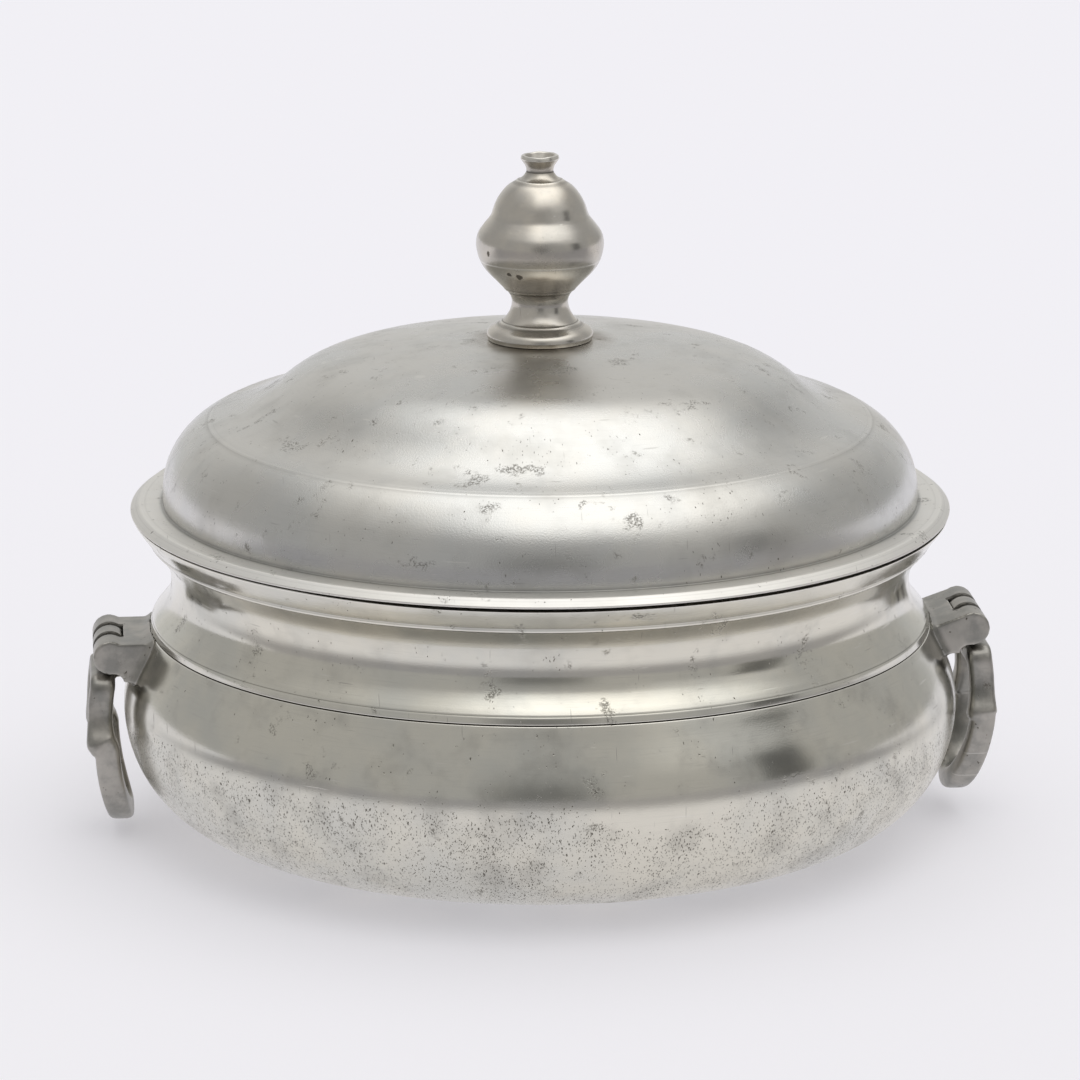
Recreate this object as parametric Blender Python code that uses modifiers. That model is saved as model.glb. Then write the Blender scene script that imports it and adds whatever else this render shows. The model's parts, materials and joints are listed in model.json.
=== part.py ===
"""Round pewter soup tureen with a domed lid and two hinged drop handles.

Metres, +Z up. The origin is the middle of the base, on the table. The handles are on the X axis.
Every turned piece is a profile of (radius, height) points, spun about Z.
"""

import math

import bmesh
import bpy
from mathutils import Vector
from mathutils.geometry import interpolate_bezier

# Colour and roughness of the castings, by the first word of their pieces' names
HANDLE_FINISH = ((0.46, 0.45, 0.42), 0.38)
FINISHES = {
    "bowl": ((0.60, 0.58, 0.54), 0.32),
    "lid": ((0.62, 0.60, 0.57), 0.34),
    "finial": ((0.60, 0.57, 0.52), 0.28),
    "left": HANDLE_FINISH,
    "right": HANDLE_FINISH,
}

# Clearances
SOLDER_GAP = 0.0003
SEAT_GAP = 0.0003
BEZEL_PLAY = 0.0007
PIN_PLAY = 0.0003
KNUCKLE_PLAY = 0.0008

# Bowl, outside: how far each moulding stands in or out from the one above it
RIM_RADIUS = 0.1246
NECK_INSET = 0.0117
SHOULDER_SWELL = 0.0059
SEAM_BEAD = 0.0008
BELLY_SWELL = 0.0084
BASE_RADIUS = 0.0700
SOLE_WIDTH = 0.0260

# Bowl, outside: heights from the table up, each measured from the one before
SOLE_LIFT = 0.0042
BELLY_HEIGHT = 0.0396
BELLY_TO_SEAM = 0.0246
SEAM_TO_NECK = 0.0143
NECK_TO_RIM = 0.0212
SEAM_BAND_HEIGHT = 0.0027
SEAM_BEAD_HEIGHT = 0.0024
RIM_FACE_HEIGHT = 0.0079
RIM_FACE_SLANT = 0.0053
RIM_LIP = 0.0006
SEAM_LEAN = math.radians(22.0)
UNDERCUT_LEAN = math.radians(40.0)
SHOULDER_LEAN = math.radians(45.0)

# Bowl, walls
WALL = 0.0022
BASE_THICKNESS = 0.0026
RIM_WIDTH = 0.0111
MOUTH_MARGIN = 0.0015
LAP_HEIGHT = 0.0020

# Lid
FLANGE_OVERHANG = 0.0004
FLANGE_EDGE = 0.0014
FLANGE_RISE = 0.0012
LID_WALL = 0.0020
DOME_SKIRT = 0.0034
ROLL_RADIUS = 0.0227
COVE_RADIUS = 0.0460
HAUNCH_RADIUS = 0.0410
CROWN_SLOPE = math.radians(10.6)
HAUNCH_SLOPE = math.radians(40.0)
COVE_SLOPE = math.radians(14.0)
BEZEL_WALL = 0.0020
BEZEL_DROP = 0.0070
BEZEL_RISE = 0.0045

# Finial: radii
FOOT_RADIUS = 0.0164
FOOT_STEP_RADIUS = 0.0122
STEM_RADIUS = 0.0086
KNOB_RADIUS = 0.0195
KNOB_SEAM_INSET = 0.0011
BELL_WAIST_RADIUS = 0.0145
BELL_RADIUS = 0.0128
COLLAR_RADIUS = 0.0072
CUP_WAIST_RADIUS = 0.0041
CUP_RADIUS = 0.0059

# Finial: heights from the lid up, each measured from the one before
FOOT_EDGE = 0.0022
FOOT_STEP_RISE = 0.0024
STEM_RISE = 0.0070
KNOB_SEAM_RISE = 0.0124
KNOB_RISE = 0.0052
BELL_WAIST_RISE = 0.0086
BELL_RISE = 0.0054
COLLAR_RISE = 0.0053
CUP_WAIST_RISE = 0.0027
CUP_RISE = 0.0048

# Finial: walls
FINIAL_WALL = 0.0022
FOOT_CHAMFER = 0.0005
KNOB_FLOOR = 0.0041
KNOB_LEAN = math.radians(27.0)
SPIGOT_HEIGHT = 0.0020
SPIGOT_WALL = 0.0014
CUP_DEPTH = 0.0026
CUP_WALL = 0.0012

# Hinges. The two brackets are not soldered at the same height.
LEFT_HINGE_DROP = 0.0056
RIGHT_HINGE_DROP = 0.0026
HINGE_WIDTH = 0.0330
KNUCKLE_RADIUS = 0.0051
KNUCKLE_TUCK = 0.0011
MIDDLE_KNUCKLE = 0.0114
PIN_RADIUS = 0.0020
BRACKET_ROOT = 0.0130
BRACKET_FILLET = 0.0062

# Handles: a strap bent into a stirrup, bowed outwards, with a cusp halfway down each side
CUSP_DROP = 0.0270
GRIP_DROP = 0.0280
CUSP_FLARE = 0.0030
CUSP_SWELL = 1.22
CUSP_LEAN = math.radians(28.0)
STRAP_WIDTH = 0.0068
HANDLE_THICKNESS = 0.0076
SECTION_CORNER = 0.0018
HANDLE_INSET = 0.0004
HANDLE_BOW_RADIUS = 0.0680
HANDLE_BOW_DROP = 0.0211

# Mesh fineness
BOWL_STEPS = 48
FINIAL_STEPS = 24
PIN_SIDES = 20
KNUCKLE_SIDES = 28
CURVE_STEPS = 5
SHORT_CURVE_STEPS = 3
GRIP_STEPS = 7
SOLE_STEPS = 9
DOME_STEPS = 4
LINING_STEPS = 3

# Headings of a curve's ends, as (outwards, upwards), and how full the curve is at its two ends
DOWN = (0.0, -1.0)
OUT = (1.0, 0.0)
INWARD = (-1.0, 0.0)
EVEN = (0.40, 0.40)
FULL_AT_END = (0.30, 0.55)

# Radii and heights that follow from the sizes above
NECK_RADIUS = RIM_RADIUS - NECK_INSET
SHOULDER_RADIUS = NECK_RADIUS + SHOULDER_SWELL
SEAM_RADIUS = SHOULDER_RADIUS + SEAM_BEAD
BELLY_RADIUS = SEAM_RADIUS + BELLY_SWELL
SOLE_RADIUS = BASE_RADIUS + SOLE_WIDTH
SEAM_HEIGHT = BELLY_HEIGHT + BELLY_TO_SEAM
NECK_HEIGHT = SEAM_HEIGHT + SEAM_TO_NECK
BOWL_HEIGHT = NECK_HEIGHT + NECK_TO_RIM
TONGUE = (WALL - SOLDER_GAP) / 2
LAP_INNER = SHOULDER_RADIUS - WALL
FLANGE_FOOT = BOWL_HEIGHT + SEAT_GAP
FLANGE_TOP = FLANGE_FOOT + FLANGE_EDGE
FLANGE_RADIUS = RIM_RADIUS + FLANGE_OVERHANG
MOUTH_RADIUS = RIM_RADIUS - RIM_WIDTH
BEZEL_RADIUS = MOUTH_RADIUS - BEZEL_PLAY
DOME_RADIUS = BEZEL_RADIUS + SOLDER_GAP + LID_WALL
KNOB_SEAM_RADIUS = KNOB_RADIUS - KNOB_SEAM_INSET
FOOT_STEP_HEIGHT = FOOT_EDGE + FOOT_STEP_RISE
STEM_HEIGHT = FOOT_STEP_HEIGHT + STEM_RISE
KNOB_SEAM_HEIGHT = STEM_HEIGHT + KNOB_SEAM_RISE
KNOB_HEIGHT = KNOB_SEAM_HEIGHT + KNOB_RISE
BELL_WAIST_HEIGHT = KNOB_HEIGHT + BELL_WAIST_RISE
BELL_HEIGHT = BELL_WAIST_HEIGHT + BELL_RISE
COLLAR_HEIGHT = BELL_HEIGHT + COLLAR_RISE
CUP_WAIST_HEIGHT = COLLAR_HEIGHT + CUP_WAIST_RISE
CUP_HEIGHT = CUP_WAIST_HEIGHT + CUP_RISE
HINGE_RADIUS = BELLY_RADIUS + KNUCKLE_RADIUS - KNUCKLE_TUCK
STRAP_TOP_DROP = KNUCKLE_RADIUS + KNUCKLE_PLAY + STRAP_WIDTH / 2


def clear_scene():
    for obj in list(bpy.data.objects):
        bpy.data.objects.remove(obj, do_unlink=True)


def new_collection(name):
    collection = bpy.data.collections.new(name)
    bpy.context.scene.collection.children.link(collection)
    return collection


def give_pewter(obj, colour, roughness):
    """A pewter material of the object's own."""
    material = bpy.data.materials.new(f"{obj.name}_pewter")
    material.use_nodes = True
    shader = material.node_tree.nodes["Principled BSDF"]
    shader.inputs["Base Color"].default_value = (*colour, 1.0)
    shader.inputs["Metallic"].default_value = 1.0
    shader.inputs["Roughness"].default_value = roughness
    obj.data.materials.append(material)


# Profile lines

def leaning(angle):
    """The heading that falls at an angle from straight down, outwards if it is positive."""
    return (math.sin(angle), -math.cos(angle))


def curve_between(start, heading, end, final_heading, steps=CURVE_STEPS, fullness=EVEN):
    """Bezier points from start to end, without the last one, that leave and arrive on these headings."""
    reach = math.dist(start, end)
    near = [start[axis] + fullness[0] * reach * heading[axis] for axis in (0, 1)]
    far = [end[axis] - fullness[1] * reach * final_heading[axis] for axis in (0, 1)]
    points = interpolate_bezier(*(Vector((*knot, 0.0)) for knot in (start, near, far, end)), steps + 1)
    return [(point.x, point.y) for point in points[:-1]]


def offset_path(points, distance):
    """The path moved sideways by distance, to the right of its direction of travel."""
    moved = []
    last = len(points) - 1
    for index, point in enumerate(points):
        before = points[max(index - 1, 0)]
        after = points[min(index + 1, last)]
        run = math.hypot(after[0] - before[0], after[1] - before[1])
        moved.append((point[0] + distance * (after[1] - before[1]) / run,
                      point[1] - distance * (after[0] - before[0]) / run))
    return moved


def bend_path(start, bends, steps):
    """Tangent arcs from a level start. Each bend is (radius, turn); a positive turn curves downwards."""
    points = [start]
    heading = 0.0
    for radius, turn in bends:
        reach = math.copysign(radius, turn)
        centre = (points[-1][0] + reach * math.sin(heading), points[-1][1] - reach * math.cos(heading))
        for step in range(1, steps + 1):
            angle = heading - turn * step / steps
            points.append((centre[0] - reach * math.sin(angle), centre[1] + reach * math.cos(angle)))
        heading -= turn
    return points


# Object makers

def add_object(name, data, collection):
    obj = bpy.data.objects.new(name, data)
    collection.objects.link(obj)
    return obj


def turned(name, profile, steps, collection, closed=False):
    """A profile of (radius, height) points, spun about Z. It runs down its outer side."""
    mesh = bpy.data.meshes.new(name)
    count = len(profile)
    edges = [(index, index + 1) for index in range(count - 1)]
    if closed:
        edges.append((count - 1, 0))
    mesh.from_pydata([(radius, 0, height) for radius, height in profile], edges, [])
    obj = add_object(name, mesh, collection)
    screw = obj.modifiers.new("Spin", "SCREW")
    screw.steps = steps
    screw.render_steps = steps
    screw.use_merge_vertices = True
    screw.merge_threshold = 0.00001
    screw.use_smooth_shade = True
    return obj


def as_mesh(curve_object, collection):
    """Turns a curve object into a welded mesh object of the same name, and removes the curve."""
    bpy.context.view_layer.update()
    evaluated = curve_object.evaluated_get(bpy.context.evaluated_depsgraph_get())
    mesh = bpy.data.meshes.new_from_object(evaluated)
    matrix = curve_object.matrix_world.copy()
    name = curve_object.name
    bpy.data.objects.remove(curve_object, do_unlink=True)
    work = bmesh.new()
    work.from_mesh(mesh)
    bmesh.ops.remove_doubles(work, verts=work.verts, dist=0.000001)
    bmesh.ops.recalc_face_normals(work, faces=work.faces)
    work.to_mesh(mesh)
    work.free()
    obj = add_object(name, mesh, collection)
    obj.matrix_world = matrix
    return obj


def closed_spline(curve, points):
    """Adds a closed spline of straight stretches through 3D points."""
    spline = curve.splines.new("POLY")
    spline.points.add(len(points) - 1)
    for target, point in zip(spline.points, points):
        target.co = (*point, 1.0)
    spline.use_cyclic_u = True
    return spline


def plate(name, outline, thickness, collection):
    """A flat (x, z) outline in the XZ plane, with its thickness along Y."""
    curve = bpy.data.curves.new(name, "CURVE")
    curve.dimensions = "2D"
    curve.fill_mode = "BOTH"
    curve.extrude = thickness / 2
    closed_spline(curve, [(x, z, 0.0) for x, z in outline])
    obj = add_object(name, curve, collection)
    obj.rotation_euler = (math.pi / 2, 0, 0)
    return as_mesh(obj, collection)


def cylinder(name, radius, length, sides, collection):
    """A closed cylinder along Y, with its middle at the origin."""
    mesh = bpy.data.meshes.new(name)
    work = bmesh.new()
    bmesh.ops.create_cone(work, cap_ends=True, segments=sides, radius1=radius, radius2=radius, depth=length)
    lay_along_y = Vector((0, 0, 1)).rotation_difference((0, 1, 0)).to_matrix()
    bmesh.ops.rotate(work, verts=work.verts, matrix=lay_along_y)
    work.to_mesh(mesh)
    work.free()
    return add_object(name, mesh, collection)


def block(name, low, high, collection):
    """A box between two corners."""
    mesh = bpy.data.meshes.new(name)
    size = Vector(high) - Vector(low)
    work = bmesh.new()
    bmesh.ops.create_cube(work, size=1.0)
    bmesh.ops.scale(work, verts=work.verts, vec=size)
    bmesh.ops.translate(work, verts=work.verts, vec=Vector(low) + size / 2)
    work.to_mesh(mesh)
    work.free()
    return add_object(name, mesh, collection)


def boolean(obj, other, operation):
    modifier = obj.modifiers.new(f"{operation.title()} {other.name}", "BOOLEAN")
    modifier.operation = operation
    modifier.object = other
    other.hide_render = True
    other.display_type = "WIRE"


def shade(obj):
    obj.data.shade_smooth()
    obj.data.set_sharp_from_angle(angle=math.radians(35))


# Bowl

def basin_outside():
    """The basin's outer line, from the seam down to where the sole starts to run in under it."""
    seam = (SEAM_RADIUS, SEAM_HEIGHT - SOLDER_GAP)
    belly = (BELLY_RADIUS, BELLY_HEIGHT)
    points = curve_between(seam, leaning(SEAM_LEAN), belly, DOWN)
    for step in range(SOLE_STEPS + 1):
        angle = math.pi / 2 * step / SOLE_STEPS
        points.append((SOLE_RADIUS + (BELLY_RADIUS - SOLE_RADIUS) * math.cos(angle),
                       BELLY_HEIGHT - (BELLY_HEIGHT - SOLE_LIFT) * math.sin(angle)))
    return points


def basin_inside():
    """The basin's inner line, from below the seam down to the floor inside."""
    line = offset_path(basin_outside(), WALL)
    return [point for point in line[1::2] if point[1] > BASE_THICKNESS]


def make_basin(collection):
    outside = basin_outside()
    lap_outer = LAP_INNER + TONGUE
    lap_top = SEAM_HEIGHT + LAP_HEIGHT
    seam_height = outside[0][1]
    profile = [(0, BASE_THICKNESS), (BASE_RADIUS, BASE_THICKNESS)]
    profile += list(reversed(basin_inside()))
    profile += [(LAP_INNER, seam_height - WALL), (LAP_INNER, lap_top)]
    profile += [(lap_outer, lap_top), (lap_outer, seam_height)]
    profile += outside + [(BASE_RADIUS, 0), (0, 0)]
    return turned("bowl_basin", profile, BOWL_STEPS, collection)


def shoulder_outside():
    """The shoulder's outer line, from the rim's top edge down to the seam."""
    face_foot = (RIM_RADIUS - RIM_FACE_SLANT, BOWL_HEIGHT - RIM_FACE_HEIGHT)
    cove_start = (face_foot[0] - RIM_LIP, face_foot[1] - RIM_LIP)
    neck = (NECK_RADIUS, NECK_HEIGHT)
    flare = (SHOULDER_RADIUS, SEAM_HEIGHT + SEAM_BAND_HEIGHT)
    bead_top = SEAM_HEIGHT + SEAM_BEAD_HEIGHT
    points = [(RIM_RADIUS, BOWL_HEIGHT), face_foot]
    points += curve_between(cove_start, leaning(-UNDERCUT_LEAN), neck, DOWN)
    points += curve_between(neck, DOWN, flare, leaning(SHOULDER_LEAN))
    points += [flare, (SHOULDER_RADIUS, bead_top)]
    return points + [(SEAM_RADIUS, bead_top - SEAM_BEAD), (SEAM_RADIUS, SEAM_HEIGHT)]


def make_shoulder(collection):
    outside = shoulder_outside()
    skirt_inner = LAP_INNER + TONGUE + SOLDER_GAP
    lap_top = SEAM_HEIGHT + LAP_HEIGHT + SOLDER_GAP
    mouth_foot = FLANGE_FOOT - BEZEL_DROP - MOUTH_MARGIN
    inside = offset_path(outside, WALL)
    wall_line = [point for point in reversed(inside) if lap_top + WALL < point[1] < mouth_foot - WALL]
    profile = outside + [(skirt_inner, SEAM_HEIGHT), (skirt_inner, lap_top), (LAP_INNER, lap_top)]
    profile += wall_line[::2] + [(MOUTH_RADIUS, mouth_foot), (MOUTH_RADIUS, BOWL_HEIGHT)]
    return turned("bowl_shoulder", profile, BOWL_STEPS, collection, closed=True)


# Lid

def dome_path(inset, steps):
    """The dome's line from the crown down to its skirt, moved into the lid by inset."""
    spread = HAUNCH_RADIUS * (math.sin(HAUNCH_SLOPE) - math.sin(CROWN_SLOPE))
    spread += COVE_RADIUS * (math.sin(HAUNCH_SLOPE) - math.sin(COVE_SLOPE))
    spread += ROLL_RADIUS * (1 - math.sin(COVE_SLOPE))
    crown_radius = (DOME_RADIUS - spread) / math.sin(CROWN_SLOPE)
    bends = [(crown_radius - inset, CROWN_SLOPE),
             (HAUNCH_RADIUS - inset, HAUNCH_SLOPE - CROWN_SLOPE),
             (COVE_RADIUS + inset, COVE_SLOPE - HAUNCH_SLOPE),
             (ROLL_RADIUS - inset, math.pi / 2 - COVE_SLOPE)]
    path = bend_path((0.0, -inset), bends, steps)
    lift = FLANGE_TOP + FLANGE_RISE + DOME_SKIRT - path[-1][1]
    return [(radius, height + lift) for radius, height in path]


def make_dome(collection):
    profile = dome_path(0.0, DOME_STEPS) + [(DOME_RADIUS, FLANGE_TOP + FLANGE_RISE)]
    profile += [(FLANGE_RADIUS, FLANGE_TOP), (FLANGE_RADIUS, FLANGE_FOOT)]
    profile += [(DOME_RADIUS - LID_WALL, FLANGE_FOOT)]
    profile += list(reversed(dome_path(LID_WALL, LINING_STEPS)))
    return turned("lid_dome", profile, BOWL_STEPS, collection)


def make_bezel(collection):
    inner = BEZEL_RADIUS - BEZEL_WALL
    top = FLANGE_FOOT + BEZEL_RISE
    foot = FLANGE_FOOT - BEZEL_DROP
    profile = [(BEZEL_RADIUS, top), (BEZEL_RADIUS, foot), (inner, foot), (inner, top)]
    return turned("lid_bezel", profile, BOWL_STEPS, collection, closed=True)


# Finial

def on_lid(points):
    """Lifts (radius, height above the lid) points onto the crown, clear of it by the solder."""
    base = dome_path(0.0, DOME_STEPS)[0][1] + SOLDER_GAP
    return [(radius, base + height) for radius, height in points]


def stem_outside():
    """Outer line of the finial's lower half, from the knob's seam down to the foot's edge."""
    seam = (KNOB_SEAM_RADIUS, KNOB_SEAM_HEIGHT - SOLDER_GAP)
    stem = (STEM_RADIUS, STEM_HEIGHT)
    step = (FOOT_STEP_RADIUS, FOOT_STEP_HEIGHT)
    foot = (FOOT_RADIUS, FOOT_EDGE)
    points = curve_between(seam, leaning(-KNOB_LEAN), stem, DOWN)
    points += curve_between(stem, DOWN, step, OUT)
    points += curve_between(step, DOWN, foot, DOWN, SHORT_CURVE_STEPS)
    return points + [foot]


def make_stem(collection):
    outside = stem_outside()
    crown = dome_path(0.0, DOME_STEPS)
    foot_sag = (crown[1][1] - crown[0][1]) * FOOT_RADIUS / crown[1][0]
    spigot_outer = KNOB_SEAM_RADIUS - FINIAL_WALL
    spigot_inner = spigot_outer - SPIGOT_WALL
    spigot_top = KNOB_SEAM_HEIGHT + SPIGOT_HEIGHT
    hollow_foot = STEM_HEIGHT + KNOB_FLOOR
    profile = [(0, hollow_foot), (STEM_RADIUS - FINIAL_WALL, hollow_foot)]
    profile += [(spigot_inner, KNOB_SEAM_HEIGHT - FINIAL_WALL), (spigot_inner, spigot_top)]
    profile += [(spigot_outer, spigot_top), (spigot_outer, outside[0][1])]
    profile += outside + [(FOOT_RADIUS - FOOT_CHAMFER, foot_sag), (0, 0)]
    return turned("finial_stem", on_lid(profile), FINIAL_STEPS, collection)


def bell_outside():
    """Outer line of the finial's upper half, from the cup's lip down to the knob's seam."""
    lip = (CUP_RADIUS, CUP_HEIGHT)
    cup_waist = (CUP_WAIST_RADIUS, CUP_WAIST_HEIGHT)
    collar = (COLLAR_RADIUS, COLLAR_HEIGHT)
    bell = (BELL_RADIUS, BELL_HEIGHT)
    waist = (BELL_WAIST_RADIUS, BELL_WAIST_HEIGHT)
    knob = (KNOB_RADIUS, KNOB_HEIGHT)
    seam = (KNOB_SEAM_RADIUS, KNOB_SEAM_HEIGHT)
    points = curve_between(lip, DOWN, cup_waist, DOWN, SHORT_CURVE_STEPS)
    points += curve_between(cup_waist, DOWN, collar, OUT, SHORT_CURVE_STEPS)
    points += curve_between(collar, OUT, bell, DOWN)
    points += curve_between(bell, DOWN, waist, DOWN, SHORT_CURVE_STEPS)
    points += curve_between(waist, DOWN, knob, DOWN, fullness=FULL_AT_END)
    points += curve_between(knob, DOWN, seam, leaning(-KNOB_LEAN), SHORT_CURVE_STEPS)
    return points + [seam]


def make_bell(collection):
    hollow_edge = KNOB_SEAM_RADIUS - FINIAL_WALL + SOLDER_GAP
    hollow_top = BELL_HEIGHT - FINIAL_WALL
    cup_inner = CUP_RADIUS - CUP_WALL
    cup_floor = CUP_HEIGHT - CUP_DEPTH
    profile = [(0, cup_floor), (cup_inner / 2, cup_floor), (cup_inner, CUP_HEIGHT)]
    profile += bell_outside()
    spigot_room = KNOB_SEAM_HEIGHT + SPIGOT_HEIGHT + SOLDER_GAP
    profile += [(hollow_edge, KNOB_SEAM_HEIGHT), (hollow_edge, spigot_room)]
    profile += [(BELL_WAIST_RADIUS - FINIAL_WALL, BELL_WAIST_HEIGHT)]
    profile += [(BELL_RADIUS - 2 * FINIAL_WALL, hollow_top), (0, hollow_top)]
    return turned("finial_bell", on_lid(profile), FINIAL_STEPS, collection)


# Hinges and handles, made for the right side about their own hinge axis, then placed

def place_on_side(obj, side, height):
    """Moves a piece made about its hinge axis to the left or the right of the bowl."""
    reach = HINGE_RADIUS if side == "right" else -HINGE_RADIUS
    obj.location = (reach, 0, height)
    obj.rotation_euler.z += 0.0 if side == "right" else math.pi


def bracket_outline():
    """Side view of a bracket: a round knuckle at the origin, and an arm that runs into the bowl."""
    belly = BELLY_RADIUS - HINGE_RADIUS
    root = belly - BRACKET_ROOT
    half_turn = KNUCKLE_SIDES // 2
    nose = []
    for step in range(half_turn + 1):
        angle = math.pi / 2 - math.pi * step / half_turn
        nose.append((KNUCKLE_RADIUS * math.cos(angle), KNUCKLE_RADIUS * math.sin(angle)))
    foot = (belly, -KNUCKLE_RADIUS - BRACKET_FILLET)
    web = curve_between(nose[-1], INWARD, foot, DOWN)
    return [(root, KNUCKLE_RADIUS)] + nose + web[1:] + [foot, (root, foot[1])]


def make_bracket(side, height, bowl_cutter, collection, cutters):
    bracket = plate(f"{side}_hinge_bracket", bracket_outline(), HINGE_WIDTH, collection)
    slot_back = -KNUCKLE_RADIUS - KNUCKLE_PLAY
    slot_half = MIDDLE_KNUCKLE / 2 + KNUCKLE_PLAY
    past = 2 * KNUCKLE_RADIUS + BRACKET_FILLET
    slot = block(f"{side}_slot", (slot_back, -slot_half, -past), (past, slot_half, past), cutters)
    bore = cylinder(f"{side}_bore", PIN_RADIUS + PIN_PLAY, 2 * HINGE_WIDTH, PIN_SIDES, cutters)
    for cutter in (slot, bore):
        place_on_side(cutter, side, height)
        boolean(bracket, cutter, "DIFFERENCE")
    boolean(bracket, bowl_cutter, "DIFFERENCE")
    place_on_side(bracket, side, height)
    shade(bracket)


def make_bowl_cutter(cutters):
    """The basin's outside with the solder's gap added, run straight up past the shoulder's bead."""
    outside = offset_path(basin_outside(), -SOLDER_GAP)
    bead = SEAM_RADIUS + SOLDER_GAP
    profile = [(0, BOWL_HEIGHT), (bead, BOWL_HEIGHT), (bead, SEAM_HEIGHT)]
    profile += outside[1:] + [(outside[-1][0], -WALL), (0, -WALL)]
    return turned("bowl_cutter", profile, BOWL_STEPS, cutters)


def bow(height):
    """How far the strap's middle line stands out from the hinge axis, at a height from it."""
    crest = HANDLE_THICKNESS / 2 - HANDLE_INSET
    return crest - (height + HANDLE_BOW_DROP) ** 2 / (2 * HANDLE_BOW_RADIUS)


def strap_line():
    """Half of the handle's loop, seen from outside: (across, height) from the top to the bottom."""
    half_strap = STRAP_WIDTH / 2
    top = (0.0, -STRAP_TOP_DROP)
    corner = (HINGE_WIDTH / 2 - half_strap, -STRAP_TOP_DROP)
    cusp = (HINGE_WIDTH / 2 + CUSP_FLARE - half_strap, -CUSP_DROP)
    bottom = (0.0, half_strap - CUSP_DROP - GRIP_DROP)
    points = [top, (corner[0] / 2, corner[1])]
    points += curve_between(corner, DOWN, cusp, leaning(CUSP_LEAN))
    points += curve_between(cusp, DOWN, bottom, INWARD, GRIP_STEPS)
    return points + [bottom]


def make_section(cutters):
    """The strap's section, a rectangle with cut corners: its width across, its thickness outwards."""
    across = STRAP_WIDTH / 2
    out = HANDLE_THICKNESS / 2
    outline = []
    for side_x, side_y in ((1, 1), (-1, 1), (-1, -1), (1, -1)):
        corner = [(side_x * across, side_y * (out - SECTION_CORNER), 0.0),
                  (side_x * (across - SECTION_CORNER), side_y * out, 0.0)]
        outline += corner if side_x * side_y > 0 else corner[::-1]
    curve = bpy.data.curves.new("strap_section", "CURVE")
    curve.dimensions = "2D"
    closed_spline(curve, outline)
    section = add_object("strap_section", curve, cutters)
    section.hide_render = True
    return section


def make_loop(name, section, collection):
    """The handle's strap: the section swept round the loop, swelling at the two cusps."""
    half = strap_line()
    loop = half + [(-across, height) for across, height in reversed(half[1:-1])]
    curve = bpy.data.curves.new(name, "CURVE")
    curve.dimensions = "3D"
    curve.twist_mode = "Z_UP"
    curve.bevel_mode = "OBJECT"
    curve.bevel_object = section
    spline = closed_spline(curve, [(across, height, bow(height)) for across, height in loop])
    for point, (_, height) in zip(spline.points, loop):
        nearness = max(0.0, 1.0 - abs(height + CUSP_DROP) / STRAP_WIDTH)
        point.radius = 1.0 + (CUSP_SWELL - 1.0) * nearness
    obj = add_object(name, curve, collection)
    obj.rotation_euler = (math.pi / 2, 0, math.pi / 2)
    return as_mesh(obj, collection)


def make_handle(side, height, section, collection, cutters):
    handle = make_loop(f"{side}_handle", section, collection)
    knuckle = cylinder(f"{side}_knuckle", KNUCKLE_RADIUS, MIDDLE_KNUCKLE, KNUCKLE_SIDES, cutters)
    half_tongue = MIDDLE_KNUCKLE / 2
    tongue_side = KNUCKLE_RADIUS - SECTION_CORNER
    tongue = block(f"{side}_tongue", (-tongue_side, -half_tongue, -STRAP_TOP_DROP),
                   (tongue_side, half_tongue, 0), cutters)
    bore = cylinder(f"{side}_handle_bore", PIN_RADIUS + PIN_PLAY, 2 * HINGE_WIDTH, PIN_SIDES, cutters)
    for other, operation in ((tongue, "UNION"), (knuckle, "UNION"), (bore, "DIFFERENCE")):
        place_on_side(other, side, height)
        boolean(handle, other, operation)
    place_on_side(handle, side, height)
    shade(handle)


def make_pin(side, height, collection):
    pin = cylinder(f"{side}_hinge_pin", PIN_RADIUS, HINGE_WIDTH, PIN_SIDES, collection)
    place_on_side(pin, side, height)
    shade(pin)


def main():
    clear_scene()
    parts = new_collection("soup_tureen")
    cutters = new_collection("cutters")
    make_basin(parts)
    make_shoulder(parts)
    make_dome(parts)
    make_bezel(parts)
    make_stem(parts)
    make_bell(parts)
    bowl_cutter = make_bowl_cutter(cutters)
    section = make_section(cutters)
    for side, drop in (("left", LEFT_HINGE_DROP), ("right", RIGHT_HINGE_DROP)):
        height = SEAM_HEIGHT - drop
        make_bracket(side, height, bowl_cutter, parts, cutters)
        make_pin(side, height, parts)
        make_handle(side, height, section, parts, cutters)
    for piece in parts.objects:
        give_pewter(piece, *FINISHES[piece.name.split("_")[0]])


main()
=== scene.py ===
"""Looks of the pewter soup tureen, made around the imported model.

Metres, +Z up, in the model's own frame: the handles are on the X axis, the viewer is at -Y.
Every turned piece is a line of (radius, height) points that runs down its outer side, spun about Z.
"""

import json
import math
from types import SimpleNamespace

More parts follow.
